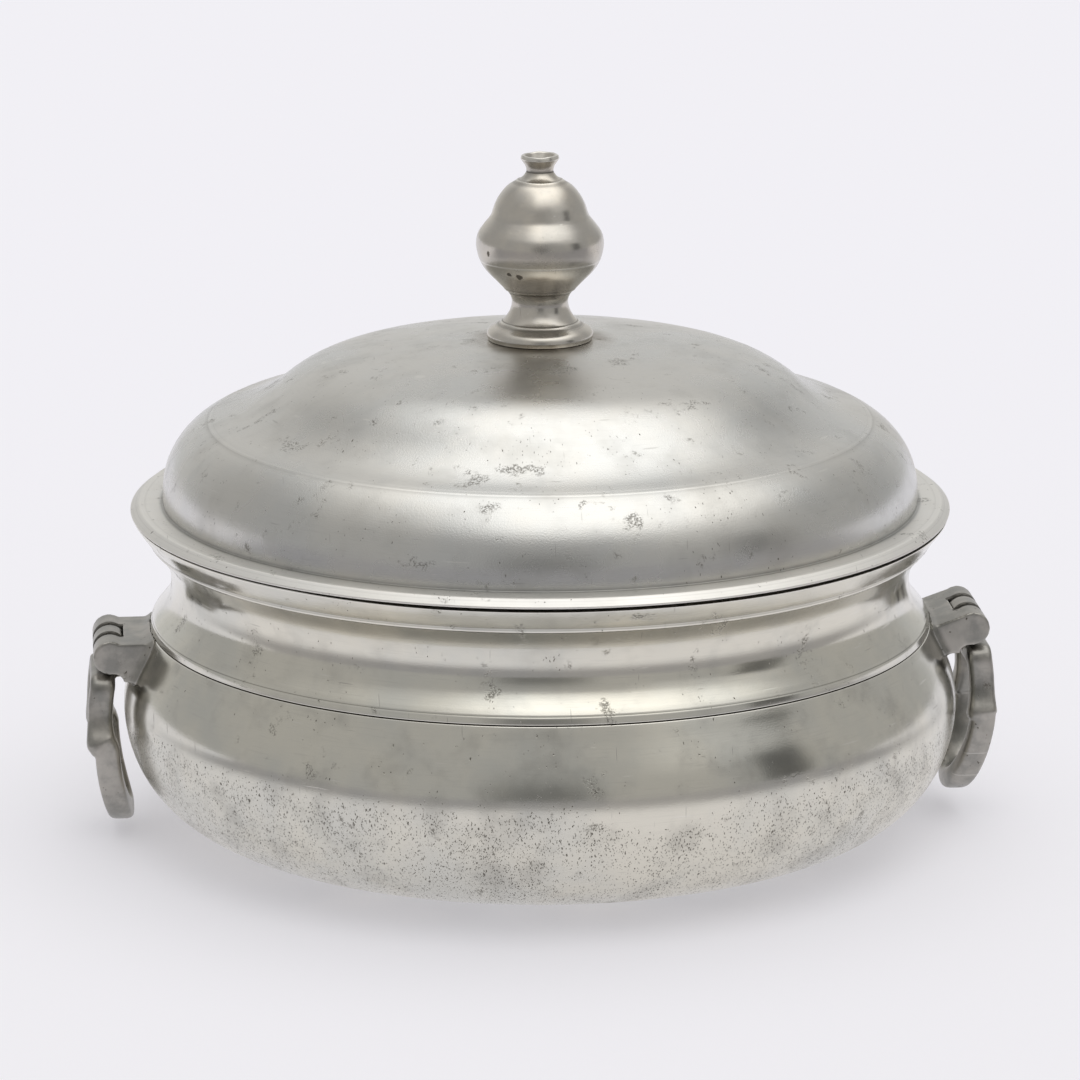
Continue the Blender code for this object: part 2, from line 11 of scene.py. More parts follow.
import bmesh
import bpy
import numpy as np
from mathutils import Matrix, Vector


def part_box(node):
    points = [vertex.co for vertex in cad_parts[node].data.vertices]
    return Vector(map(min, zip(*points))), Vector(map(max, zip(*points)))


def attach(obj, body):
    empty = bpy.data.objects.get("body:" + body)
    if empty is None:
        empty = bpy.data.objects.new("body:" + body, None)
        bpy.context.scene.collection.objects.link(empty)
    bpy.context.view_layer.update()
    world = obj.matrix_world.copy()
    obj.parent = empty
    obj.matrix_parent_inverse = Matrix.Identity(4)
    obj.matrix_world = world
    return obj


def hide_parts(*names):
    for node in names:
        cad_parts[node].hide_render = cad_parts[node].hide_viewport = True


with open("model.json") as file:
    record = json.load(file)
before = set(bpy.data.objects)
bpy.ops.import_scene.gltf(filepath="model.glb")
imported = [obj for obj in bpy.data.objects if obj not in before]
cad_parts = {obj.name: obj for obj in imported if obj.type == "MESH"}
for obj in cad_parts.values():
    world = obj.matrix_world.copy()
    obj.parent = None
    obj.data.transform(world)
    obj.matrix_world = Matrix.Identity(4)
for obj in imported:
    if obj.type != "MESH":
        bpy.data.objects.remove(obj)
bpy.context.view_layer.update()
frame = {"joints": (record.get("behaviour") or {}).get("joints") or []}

# Sizes read from the model
SHOULDER_LOW, SHOULDER_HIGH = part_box("bowl_shoulder")
_, BASIN_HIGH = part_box("bowl_basin")
DOME_LOW, DOME_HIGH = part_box("lid_dome")
BEZEL_LOW, BEZEL_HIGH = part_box("lid_bezel")
BELL_LOW, BELL_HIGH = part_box("finial_bell")
PIN_LOW, PIN_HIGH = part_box("left_hinge_pin")
JOINTS = {joint["name"]: joint for joint in frame["joints"]}
RIM_RADIUS = SHOULDER_HIGH.x
RIM_HEIGHT = SHOULDER_HIGH.z
SEAM_HEIGHT = SHOULDER_LOW.z
BELLY_RADIUS = BASIN_HIGH.x
LAP_TOP = BASIN_HIGH.z
FLANGE_RADIUS = DOME_HIGH.x
FLANGE_FOOT = DOME_LOW.z
CROWN_HEIGHT = DOME_HIGH.z
BEZEL_RADIUS = BEZEL_HIGH.x
KNOB_SEAM_HEIGHT = BELL_LOW.z
CUP_HEIGHT = BELL_HIGH.z
HINGE_WIDTH = PIN_HIGH.y - PIN_LOW.y

# Clearances
GAP = 0.0003
PIN_PLAY = 0.0003
KNUCKLE_PLAY = 0.0008

# Bowl. A turned line is (place, depth, width), here with its height above the foot of the rim's face.
# The depth of a bead is negative.
NECK_RADIUS = RIM_RADIUS - 0.0117
SHOULDER_RADIUS = NECK_RADIUS + 0.0059
SEAM_RADIUS = SHOULDER_RADIUS + 0.0008
SOLE_RADIUS = 0.0960
BASE_RADIUS = 0.0700
SOLE_LIFT = 0.0042
BELLY_HEIGHT = SEAM_HEIGHT - 0.0246
NECK_HEIGHT = SEAM_HEIGHT + 0.0143
SEAM_BAND_HEIGHT = 0.0027
SEAM_BEAD_HEIGHT = 0.0024
RIM_FACE_HEIGHT = 0.0079
RIM_FACE_SLANT = 0.0053
RIM_LIP = 0.0006
RIM_SEAT_WIDTH = 0.0050
RIM_STEP = 0.0006
RIM_CLOSED = 0.8
RIM_OPEN_ANGLE = 0.35
RIM_BEAD = (0.0001, -0.00030, 0.0004)
RIM_GROOVE = (0.0012, 0.00010, 0.0003)
SEAM_BEAD_EASE = 0.0004
SEAM_LEAN = math.radians(22.0)
UNDERCUT_LEAN = math.radians(40.0)
SHOULDER_LEAN = math.radians(40.0)
WALL = 0.0022
BASE_THICKNESS = 0.0026
TONGUE = (WALL - GAP) / 2
LAP_INNER = SHOULDER_RADIUS - WALL
MOUTH_RADIUS = RIM_RADIUS - 0.0111
MOUTH_FOOT = BEZEL_LOW.z - 0.0015

# Lid. Its turned lines are placed by their radius.
LID_WALL = 0.0020
BEZEL_WALL = 0.0020
FLANGE_EDGE = 0.0014
FLANGE_RISE = 0.0012
FLANGE_ROUND = 0.0003
FLANGE_BEVEL = (0.0026, 0.0019)
FLANGE_LINE_START = 0.0010
FLANGE_LINE_STEP = 0.0009
FLANGE_LINE = (0.00006, 0.0002)
ROLL_LINES = ((0.1012, 0.00006, 0.0003), (0.1005, -0.00008, 0.0004), (0.0996, 0.00005, 0.0003))
DOME_RADIUS = BEZEL_RADIUS + GAP + LID_WALL
ROLL_RADIUS = 0.0227
COVE_RADIUS = 0.0460
HAUNCH_RADIUS = 0.0410
CROWN_SLOPE = math.radians(10.6)
HAUNCH_SLOPE = math.radians(40.0)
COVE_SLOPE = math.radians(14.0)

# Finial. Its rows are (radius, height above its base) of the points that its outline passes through, from
# the top down. Its turned lines are placed by their height above its base. A blot is (place, radius).
FINIAL_BASE = CROWN_HEIGHT + GAP
FINIAL_ROWS = ((0.0041, 0.0509), (0.0050, 0.0494), (0.0072, 0.0481), (0.0097, 0.0466), (0.0123, 0.0436),
               (0.0139, 0.0405), (0.0148, 0.0375), (0.0171, 0.0346), (0.0190, 0.0316), (0.0194, 0.0290),
               (0.0190, 0.0260), (0.0180, 0.0232), (0.0164, 0.0208), (0.0142, 0.0186), (0.0114, 0.0157),
               (0.0090, 0.0131), (0.0085, 0.0112), (0.0088, 0.0092), (0.0101, 0.0066), (0.0123, 0.0044),
               (0.0132, 0.0039))
KNOB_SEAM = (0.0183, KNOB_SEAM_HEIGHT)
FOOT = (0.0163, FINIAL_BASE + 0.0007)
STEM = (0.0086, FINIAL_BASE + 0.0116)
BELL = (0.0128, FINIAL_BASE + 0.0430)
BELL_WAIST = (0.0145, FINIAL_BASE + 0.0376)
CUP_WAIST = (0.0041, CUP_HEIGHT - 0.0050)
CUP_BAND = (0.0059, CUP_HEIGHT - 0.0012)
CUP_LEAN = math.radians(34.0)
CUP_LIP = (0.0056, CUP_HEIGHT)
FINIAL_BLOTS = (((-0.0075, -0.0150, 0.0213), 0.0013), ((-0.0165, -0.0100, 0.0278), 0.0009),
                ((-0.0106, -0.0135, 0.0219), 0.0008))
FINIAL_LINES = ((0.0482, -0.00016, 0.0004), (0.0475, 0.00005, 0.0003), (0.0150, -0.00016, 0.0004),
                (0.0142, 0.00005, 0.0003), (0.0048, -0.00014, 0.0003), (0.0042, 0.00005, 0.0003))
FINIAL_WALL = 0.0022
SPIGOT_WALL = 0.0014
SPIGOT_HEIGHT = 0.0020
SEAM_OVERLAP = 0.0003
KNOB_FLOOR = 0.0041
FOOT_CHAMFER = 0.0005
FOOT_SAG = 0.0006
FOOT_LEAN = 1.15
CUP_WALL = 0.0008
CUP_DEPTH = 0.0028
CUP_FLOOR = 0.7
CUP_DENT = 0.00016
CUP_SQUASH = 0.03

# Hinges and handles
KNUCKLE_RADIUS = 0.0051
MIDDLE_KNUCKLE = 0.0114
PIN_RADIUS = 0.0020
BRACKET_ROOT = 0.0130
BRACKET_FILLET = 0.0026
BRACKET_TOP = 0.0042
ARM_DROP = {"left": 0.0, "right": 0.0050}
SLOT_BACK = 0.0042
SLOT_PLAY = 0.0005
KNUCKLE_CAP = 0.0006
BARREL_TRIM = 0.0014
TONGUE_INSET = 0.0018
PIN_GRIP = 0.00005
PIN_STEP = 0.0003
# How far from a knuckle's slit its faces get painted shade, marked as the darkest hollow
SLIT_SHADE_REACH = 0.0009
BRACKET_SINK = 0.0008
SOLDER_REACH = 0.0026
SOLDER_SPREAD = 0.0014
STRAP_WIDTH = 0.0068
HANDLE_THICKNESS = 0.0076
STRAP_TOP_DROP = KNUCKLE_RADIUS + KNUCKLE_PLAY + STRAP_WIDTH / 2
CUSP_DROP = 0.0270
GRIP_DROP = 0.0280
CUSP_FLARE = 0.0030
CUSP_SWELL = 0.22
CUSP_RISE = 0.0085
CUSP_STEP = 0.0012
CUSP_LEAN = math.radians(28.0)
HANDLE_INSET = 0.0004
HANDLE_BOW_RADIUS = 0.0680
HANDLE_BOW_DROP = 0.0211
GRIP_SHIFT = {"left": (-0.0018, 0.0010), "right": (0.0004, 0.0004)}
SECTION_POINTS = 28
SECTION_POWER = 4.5
CAST_VOXEL = 0.00042
CAST_SMOOTHING = 5
CAST_SHARP = math.radians(50.0)
EDGE_PASSES = 2

# How far wear has rounded the corners, and how far the turned pieces are out of round
TIGHT_RADIUS = 0.0006
BASIN_WEAR = 0.00025
RIM_WEAR = 0.00022
BEZEL_WEAR = 0.0003
FINIAL_WEAR = 0.00015
FINIAL_BLEND = 0.0008
SOLDER_WEAR = 0.0006
STRAP_WEAR = 0.0010
BOWL_WOBBLE = 0.00012
FINIAL_WOBBLE = 0.00006

# How finely a line is drawn
SPACING = 0.0001
CURVE_POINTS = 60
LONGEST_STEP = 0.0022
LARGEST_TURN = math.radians(5.0)
BOWL_STEPS = 180
FINIAL_STEPS = 96
PIN_STEPS = 48
STRAP_THINNING = 5

# Headings of a curve's ends, as (outwards, upwards), and how full the curve is at its two ends
DOWN = (0.0, -1.0)
INWARD = (-1.0, 0.0)
EVEN = (0.40, 0.40)

# Patterns in the metal. A noise is (scale in cells per metre, detail, roughness), spots are (scale, share,
# size), a pull is (stretch, turn), and an edge is where a pattern goes from none to full, or from least to
# most if those follow. The clouds' scale is the finish's own, and the pits multiply the finish's share.
LATHE_PULL = 0.004
UNROLLED_RADIUS = 0.12
SHAKE_SCALE = 900.0
SMALLEST_SPOT = 0.3
SPOT_CORE = 0.55
CLOUD_NOISE = (4.0, 0.6)
PATCH_NOISE = (70.0, 3.0, 0.6)
GRAIN_NOISE = (2200.0, 1.0, 0.5)
TURNING_NOISE = (2600.0, 3.0, 0.65)
RASH_NOISE = (95.0, 3.0, 0.65)
CRUMB_NOISE = (1700.0, 2.0, 0.7)
HAIR_PULL = ((0.06, 1.0, 0.0), (0.0, 0.0, 0.10))
HAIR_SPOTS = (900.0, 0.10, 0.22)
STROKES = ((((1.0, 1.0, 16.0), (0.3, 0.5, 0.4)), (60.0, 0.12, 0.16)),
           (((14.0, 1.0, 1.0), (0.9, 0.2, 0.7)), (70.0, 0.12, 0.16)))
HOLLOW_EDGE = (-0.05, -0.6)
WORN_EDGE = (0.1, 0.8)
BRIM_FADE = 0.0008
ZONE_WANDER = 0.030
ZONE_CROWDING = (0.25, 0.7, 0.35, 1.0)
PIT_EDGE = (0.42, 0.75)
PIT_SHAKE = 0.0010
PIT_PULL = ((1.0, 0.42, 0.42), (0.0, 0.0, 0.75))
FINE_PITS = (2900.0, 1.5, 0.42)
COARSE_PITS = (1350.0, 0.38, 0.33)
RASH_FADE = 0.09
CRUMB_EDGE = (0.44, 0.60)
BLOT_SHAKE = 0.0012
BLOT_CORE = 0.65

# Colours of worn pewter, with a painted sheen for the lid's brim and painted shade for the knuckles'
# slits, and how strongly its patterns show in colour and roughness
TONE_EDGE = (0.35, 0.65)
FILM_EDGE = (0.45, 0.8)
FILM_COLOUR = (0.30, 0.29, 0.265, 1.0)
LINE_EDGE = (0.5, 0.8, 0.0, 0.16)
LINE_COLOUR = (0.36, 0.35, 0.33, 1.0)
WORN_SHINE = 0.55
HAIR_SHINE = 0.3
WORN_COLOUR = (0.80, 0.78, 0.73, 1.0)
# Painted sheen: the lid's brim is coloured lighter to stand for the light that its fine turned lines catch
BRIM_PAINTED_SHEEN = 0.6
BRIM_SHEEN_COLOUR = (0.84, 0.82, 0.78, 1.0)
SMUDGE_PATCHES = (0.3, 0.6, 0.3, 0.75)
SMUDGE_COLOUR = (0.25, 0.215, 0.17, 1.0)
# Dirt in hollows; on the castings the same colour is painted shade on the faces of the knuckles' slits
DIRT_AND_SHADE_COLOUR = (0.10, 0.095, 0.085, 1.0)
STROKE_DARKNESS = 0.35
STROKE_COLOUR = (0.30, 0.29, 0.27, 1.0)
RASH_DARKNESS = 0.75
PIT_DARKNESS = 0.85
PIT_COLOUR = (0.10, 0.088, 0.07, 1.0)
CLOUD_EDGE = (0.3, 0.7)
CLOUD_DULLNESS = 0.03
PATCH_DULLNESS = (0.35, 0.8, -0.02, 0.05)
DULLNESS = {"pits": 0.25, "hollow": 0.2, "zone": 0.12, "brim": 0.2}

# Relief of the metal, in millimetres
MILLIMETRE = 0.001
RELIEF = {"patch": 0.03, "pits": -0.05, "strokes": -0.012, "hairs": -0.01}

# What most finishes share: depths in millimetres, shares from 0 to 1, a scale in cells per metre. A pit
# zone is (full below, none above, share), a brim starts at a radius, a smudge is (full in, none out).
PLAIN_FINISH = {
    "lathe_depth": 0.004,
    "grain_depth": 0.009,
    "pit_share": 0.1,
    "pit_zone": None,
    "blotch": 0.62,
    "film": 0.25,
    # Strength of the dark in hollows: dirt, and on the castings also the painted shade of the knuckles'
    # slits
    "dirt": 0.8,
    "cloud_scale": 22.0,
    "brim": None,
    "smudge": None,
    "blots": (),
}
BOWL_TONES = {"warm": (0.71, 0.682, 0.597, 1.0), "cool": (0.62, 0.613, 0.561, 1.0)}

# Floor and backdrop
FLOOR_REACH = 6.0
FLOOR_FADE = (-0.35, 0.9)
FLOOR_NEAR_COLOUR = (0.92, 0.91, 0.95, 1.0)
FLOOR_FAR_COLOUR = (0.93, 0.92, 0.97, 1.0)
# Painted reflection: where the metal reflects the paper, its far front is painted dark
FLOOR_DIM_COLOUR = (0.0, 0.0, 0.0, 1.0)
FLOOR_DIM_RADII = (0.24, 0.42, 0.0, 0.55)
FLOOR_DIM_FRONT = (0.25, -0.05)
# Painted light: the paper glows in its own colour at this share, which lifts the shadow under the bowl,
# and at a larger share where the metal reflects it
FLOOR_FILL = 0.38
REFLECTED_FILL = 0.30
BACKDROP_COLOUR = (0.90, 0.89, 0.94, 1.0)

# Light in the room, by direction. A dark thing is (bearing, half width from full to none, height at its
# top from none to full, darkness).
ROOM_COLOUR = (1.0, 0.995, 0.985, 1.0)
ROOM_LIGHT = 0.48
PANEL_LIGHT = 1.28
PANEL_RISE = (0.60, 0.95)
PANEL_LEFT = (-0.50, -0.05, 0.25, 1.0)
WALL_LIGHT = 0.25
WALL_RISE = (0.55, 0.98)
GLOW_LIGHT = 0.22
GLOW_BEARING = math.radians(53.0)
GLOW_SPREAD = (0.1, 0.6)
GLOW_FOOT = (0.3, 0.6)
GLOW_TOP = (0.9, 0.7)
DARK_THINGS = ((math.radians(-4.0), (math.radians(1.0), math.radians(19.0)), (0.66, 0.10), 0.52),
               (math.radians(65.0), (math.radians(5.5), math.radians(9.5)), (0.47, 0.38), 0.72))

# Camera, measured from the photo's perspective
CAMERA_DISTANCE = 1.600
CAMERA_HEIGHT = 0.4984
CAMERA_TURN = math.radians(5.0)
CAMERA_PITCH = math.radians(14.37)
CAMERA_LENS = 179.8
CAMERA_SENSOR = 36.0


# Lines

def leaning(angle):
    """The heading that falls at an angle from straight down, outwards if it is positive."""
    return (math.sin(angle), -math.cos(angle))


def curve(start, heading, end, final_heading, fullness=EVEN):
    """A curve from start to end that leaves and arrives on these headings."""
    start, heading, end, final_heading = map(np.array, (start, heading, end, final_heading))
    reach = np.linalg.norm(end - start)
    near = start + fullness[0] * reach * heading
    far = end - fullness[1] * reach * final_heading
    t = np.linspace(0.0, 1.0, CURVE_POINTS)[:, None]
    return (1 - t) ** 3 * start + 3 * (1 - t) ** 2 * t * near + 3 * (1 - t) * t ** 2 * far + t ** 3 * end


def bends(start, arcs):
    """Tangent arcs from a level start. Each is (radius, turn); a positive turn curves downwards."""
    points = [start]
    heading = 0.0
    for radius, turn in arcs:
        reach = math.copysign(radius, turn)
        centre = (points[-1][0] + reach * math.sin(heading), points[-1][1] - reach * math.cos(heading))
        for angle in heading - turn * np.linspace(0.0, 1.0, CURVE_POINTS)[1:]:
            points.append((centre[0] - reach * math.sin(angle), centre[1] + reach * math.cos(angle)))
        heading -= turn
    return np.array(points)


def arc(radius, start, end, closed=False):
    """Points round the origin from one angle to another. A closed arc leaves out its last point."""
    angle = np.linspace(start, end, PIN_STEPS, endpoint=not closed)
    return np.column_stack([radius * np.cos(angle), radius * np.sin(angle)])


def distances(points):
    """How far along a line each of its points lies."""
    return np.concatenate([[0.0], np.cumsum(np.linalg.norm(np.diff(points, axis=0), axis=1))])


def through(points):
    """A smooth curve through points."""
    along = distances(points)
    slope = np.gradient(points, along, axis=0)
    fine = np.linspace(0.0, along[-1], len(points) * CURVE_POINTS // 4)
    place = np.clip(np.searchsorted(along, fine) - 1, 0, len(points) - 2)
    step = (along[place + 1] - along[place])[:, None]
    t = (fine - along[place])[:, None] / step
    bent = (1 + 2 * t) * (1 - t) ** 2 * points[place] + t ** 2 * (3 - 2 * t) * points[place + 1]
    return bent + step * (t * (1 - t) ** 2 * slope[place] - t ** 2 * (1 - t) * slope[place + 1])


def line(*stretches):
    """Points and stretches of points joined in one line, drawn at an even spacing."""
    points = np.vstack([np.atleast_2d(stretch) for stretch in stretches])
    steps = np.linalg.norm(np.diff(points, axis=0), axis=1)
    points = points[np.concatenate([[True], steps > 1e-9])]
    along = distances(points)
    paper_glow = np.linspace(0.0, along[-1], int(along[-1] / SPACING) + 2)
    return np.column_stack([np.interp(paper_glow, along, points[:, axis]) for axis in range(points.shape[1])])


def soften(points, width):
    """Wears the corners of an evenly drawn line round. Its two ends stay where they are."""
    reach = min(int(3 * width / SPACING), len(points) - 1)
    kernel = np.exp(-0.5 * (np.arange(-reach, reach + 1) * SPACING / width) ** 2)
    padded = np.pad(points, ((reach, reach), (0, 0)), mode="reflect", reflect_type="odd")
    columns = [np.convolve(column, kernel / kernel.sum(), "valid") for column in padded.T]
    return np.column_stack(columns)


def outward(points):
    """Unit vectors square to a line, to the left of its direction of travel."""
    travel = np.gradient(points, axis=0)
    travel /= np.maximum(np.linalg.norm(travel, axis=1), 1e-12)[:, None]
    return np.column_stack([-travel[:, 1], travel[:, 0]])


def offset(points, distance):
    """The line moved into the metal by distance."""
    return points - distance * outward(points)


def engrave(points, axis, marks):
    """Cuts grooves into a line: each is (place along the axis, depth, width), a bead if it is negative."""
    depth = np.zeros(len(points))
    along = np.arange(len(points)) * SPACING
    for place, cut, width in marks:
        nearest = np.argmin(np.abs(points[:, axis] - place))
        depth += cut * np.exp(-((along - along[nearest]) / width) ** 2)
    return points - depth[:, None] * outward(points)


def sharpness(points):
    """How sharply a line turns, from -1 in a tight hollow to 1 on a tight edge."""
    travel = np.gradient(points, axis=0)
    heading = np.unwrap(np.arctan2(travel[:, 1], travel[:, 0]))
    bend = -np.gradient(heading) / SPACING * TIGHT_RADIUS
    return np.clip(bend, -1.0, 1.0)


def thin(points):
    """Indices of the points to keep: close together where the line turns, else far apart."""
    travel = np.diff(points, axis=0)
    heading = np.unwrap(np.arctan2(travel[:, 1], travel[:, 0]))
    kept = [0]
    for index in range(1, len(points) - 1):
        turned_by = abs(heading[index] - heading[kept[-1]])
        if turned_by > LARGEST_TURN or (index - kept[-1]) * SPACING > LONGEST_STEP:
            kept.append(index)
    return kept + [len(points) - 1]


# Meshes

def add_mesh(name, mesh):
    obj = bpy.data.objects.new(name, mesh)
    bpy.context.scene.collection.objects.link(obj)
    return obj


def weld(mesh):
    """Merges doubled points and turns all faces outwards."""
    work = bmesh.new()
    work.from_mesh(mesh)
    bmesh.ops.remove_doubles(work, verts=work.verts, dist=1e-6)
    bmesh.ops.recalc_face_normals(work, faces=work.faces)
    work.to_mesh(mesh)
    work.free()


def grid_faces(rows, columns, wrap_rows):
    """Quads of a grid of points that is closed across its columns."""
    row = np.arange(rows if wrap_rows else rows - 1)[:, None]
    column = np.arange(columns)[None, :]
    next_row = (row + 1) % rows
    next_column = (column + 1) % columns
    corners = [row * columns + column, next_row * columns + column,
               next_row * columns + next_column, row * columns + next_column]
    return np.stack(np.broadcast_arrays(*corners), axis=-1).reshape(-1, 4)


def handmade(angle, height, amount):
    """The slight swell and dip of a surface that was cast, turned and then used for long."""
    swell = np.sin(2 * angle + 0.7 + 9 * height) + 0.6 * np.sin(3 * angle + 2.1 - 14 * height)
    swell += 0.5 * np.sin(5 * angle + 4.0 + 31 * height) + 0.3 * np.sin(9 * angle + 1.3 - 47 * height)
    return amount * swell / 2.4


def turned(name, points, steps, wobble=0.0, closed=False):
    """Spins a line about Z. A closed line ends where it starts."""
    edge = sharpness(points)
    kept = thin(points)
    if closed:
        kept = kept[:-1]
    radius, height = points[kept].T[:, :, None]
    angle = np.linspace(0.0, 2 * math.pi, steps, endpoint=False)[None, :]
    spread = np.maximum(radius - np.abs(wobble) + handmade(angle, height, wobble), 0.0) * (radius > 1e-7)
    rings = np.stack(np.broadcast_arrays(spread * np.cos(angle), spread * np.sin(angle), height), axis=-1)
    mesh = bpy.data.meshes.new(name)
    mesh.from_pydata(rings.reshape(-1, 3), [], grid_faces(len(kept), steps, closed))
    layer = mesh.attributes.new("edge", "FLOAT", "POINT")
    layer.data.foreach_set("value", np.repeat(edge[kept], steps))
    weld(mesh)
    mesh.shade_smooth()
    return add_mesh(name, mesh)


# Bowl

def basin_outside():
    """The basin's outer line, from the seam down to the edge of the sole."""
    seam = (SEAM_RADIUS, SEAM_HEIGHT - GAP)
    belly = (BELLY_RADIUS, BELLY_HEIGHT)
    angle = np.linspace(0.0, math.pi / 2, CURVE_POINTS)
    sole = np.column_stack([SOLE_RADIUS + (BELLY_RADIUS - SOLE_RADIUS) * np.cos(angle),
                            BELLY_HEIGHT - (BELLY_HEIGHT - SOLE_LIFT) * np.sin(angle)])
    return line(curve(seam, leaning(SEAM_LEAN), belly, DOWN), sole)


def make_basin():
    outside = basin_outside()
    inside = offset(outside, WALL)[::-1]
    seam_height = outside[0][1]
    inside = inside[(inside[:, 1] > BASE_THICKNESS) & (inside[:, 1] < seam_height - 2 * WALL)]
    lap_outer = LAP_INNER + TONGUE
    profile = line((0, BASE_THICKNESS), (BASE_RADIUS, BASE_THICKNESS), inside,
                   (LAP_INNER, seam_height - WALL), (LAP_INNER, LAP_TOP),
                   (lap_outer, LAP_TOP), (lap_outer, seam_height), outside, (BASE_RADIUS, 0), (0, 0))
    return turned("basin", soften(profile, BASIN_WEAR), BOWL_STEPS, wobble=BOWL_WOBBLE)


def shoulder_outside():
    """The shoulder's outer line, from the seat of the lid down to the seam."""
    face_foot = (RIM_RADIUS - RIM_FACE_SLANT, RIM_HEIGHT - RIM_FACE_HEIGHT)
    cove_start = (face_foot[0] - RIM_LIP, face_foot[1] - RIM_LIP)
    neck = (NECK_RADIUS, NECK_HEIGHT)
    flare = (SHOULDER_RADIUS, SEAM_HEIGHT + SEAM_BAND_HEIGHT)
    bead_top = SEAM_HEIGHT + SEAM_BEAD_HEIGHT
    step = RIM_HEIGHT - RIM_STEP
    seat = RIM_RADIUS - RIM_SEAT_WIDTH
    points = line((seat, RIM_HEIGHT), (seat, step), (RIM_RADIUS, step), face_foot,
                  curve(cove_start, leaning(-UNDERCUT_LEAN), neck, DOWN),
                  curve(neck, DOWN, flare, leaning(SHOULDER_LEAN)), (SHOULDER_RADIUS, bead_top),
                  (SEAM_RADIUS - SEAM_BEAD_EASE, bead_top - SEAM_BEAD_EASE), (SEAM_RADIUS, SEAM_HEIGHT))
    return engrave(points, 1, [(face_foot[1] + rise, *cut) for rise, *cut in (RIM_BEAD, RIM_GROOVE)])


def make_shoulder():
    outside = shoulder_outside()
    skirt_inner = LAP_INNER + TONGUE + GAP
    lap_room = LAP_TOP + GAP
    inside = offset(outside, WALL)[::-1]
    inside = inside[(inside[:, 1] > lap_room + WALL) & (inside[:, 1] < MOUTH_FOOT - WALL)]
    start = (skirt_inner, lap_room)
    profile = line(start, (LAP_INNER, lap_room), inside, (MOUTH_RADIUS, MOUTH_FOOT),
                   (MOUTH_RADIUS, RIM_HEIGHT), outside, (skirt_inner, SEAM_HEIGHT), start)
    shoulder = turned("shoulder", soften(profile, RIM_WEAR), BOWL_STEPS, wobble=BOWL_WOBBLE, closed=True)
    close_gap(shoulder)
    return shoulder


def close_gap(shoulder):
    """Raises the rim's outer step to the lid on the left, where the lid lies close."""
    foot = RIM_HEIGHT - 2 * RIM_STEP
    inner = RIM_RADIUS - RIM_SEAT_WIDTH + RIM_STEP
    for vertex in shoulder.data.vertices:
        x, y, z = vertex.co
        if z > foot and math.hypot(x, y) > inner:
            leftwards = min(max(-math.atan2(x, -y) / RIM_OPEN_ANGLE - 1.0, 0.0), 1.0)
            vertex.co.z += RIM_CLOSED * leftwards * (z - foot)


# Lid

def dome_outside(inset):
    """The dome's line from the crown down to its skirt, moved into the lid by inset."""
    spread = HAUNCH_RADIUS * (math.sin(HAUNCH_SLOPE) - math.sin(CROWN_SLOPE))
    spread += COVE_RADIUS * (math.sin(HAUNCH_SLOPE) - math.sin(COVE_SLOPE))
    spread += ROLL_RADIUS * (1 - math.sin(COVE_SLOPE))
    crown_radius = (DOME_RADIUS - spread) / math.sin(CROWN_SLOPE)
    return bends((0.0, CROWN_HEIGHT - inset),
                 [(crown_radius - inset, CROWN_SLOPE),
                  (HAUNCH_RADIUS - inset, HAUNCH_SLOPE - CROWN_SLOPE),
                  (COVE_RADIUS + inset, COVE_SLOPE - HAUNCH_SLOPE),
                  (ROLL_RADIUS - inset, math.pi / 2 - COVE_SLOPE)])


def make_dome():
    flange_top = FLANGE_FOOT + FLANGE_EDGE
    bevel_start = (FLANGE_RADIUS - FLANGE_BEVEL[0], flange_top + FLANGE_RISE)
    bevel_end = (FLANGE_RADIUS, bevel_start[1] - FLANGE_BEVEL[1])
    top = line(dome_outside(0.0), (DOME_RADIUS, flange_top + FLANGE_RISE), bevel_start, bevel_end)
    flange_radii = np.arange(DOME_RADIUS + FLANGE_LINE_START, FLANGE_RADIUS, FLANGE_LINE_STEP)
    top = engrave(top, 0, [*ROLL_LINES, *((radius, *FLANGE_LINE) for radius in flange_radii)])
    profile = line(top, (FLANGE_RADIUS, FLANGE_FOOT + FLANGE_ROUND),
                   (FLANGE_RADIUS - FLANGE_ROUND, FLANGE_FOOT), (DOME_RADIUS - LID_WALL, FLANGE_FOOT),
                   dome_outside(LID_WALL)[::-1])
    return turned("dome", soften(profile, RIM_WEAR), BOWL_STEPS, wobble=BOWL_WOBBLE)


def make_bezel():
    inner = BEZEL_RADIUS - BEZEL_WALL
    start = (inner, BEZEL_HIGH.z)
    profile = line(start, (BEZEL_RADIUS, BEZEL_HIGH.z), (BEZEL_RADIUS, BEZEL_LOW.z),
                   (inner, BEZEL_LOW.z), start)
    return turned("bezel", soften(profile, BEZEL_WEAR), BOWL_STEPS, closed=True)


# Finial

def finial_line():
    """The finial's outer line, from the lip of its cup to its foot, with fine turned lines."""
    body = soften(line(through(np.array(FINIAL_ROWS) + (0.0, FINIAL_BASE))), FINIAL_BLEND)
    cup = curve(CUP_BAND, leaning(-CUP_LEAN), CUP_WAIST, DOWN)
    points = line(CUP_LIP, cup, body, curve(body[-1], leaning(FOOT_LEAN), FOOT, DOWN))
    return engrave(points, 1, [(FINIAL_BASE + height, *cut) for height, *cut in FINIAL_LINES])


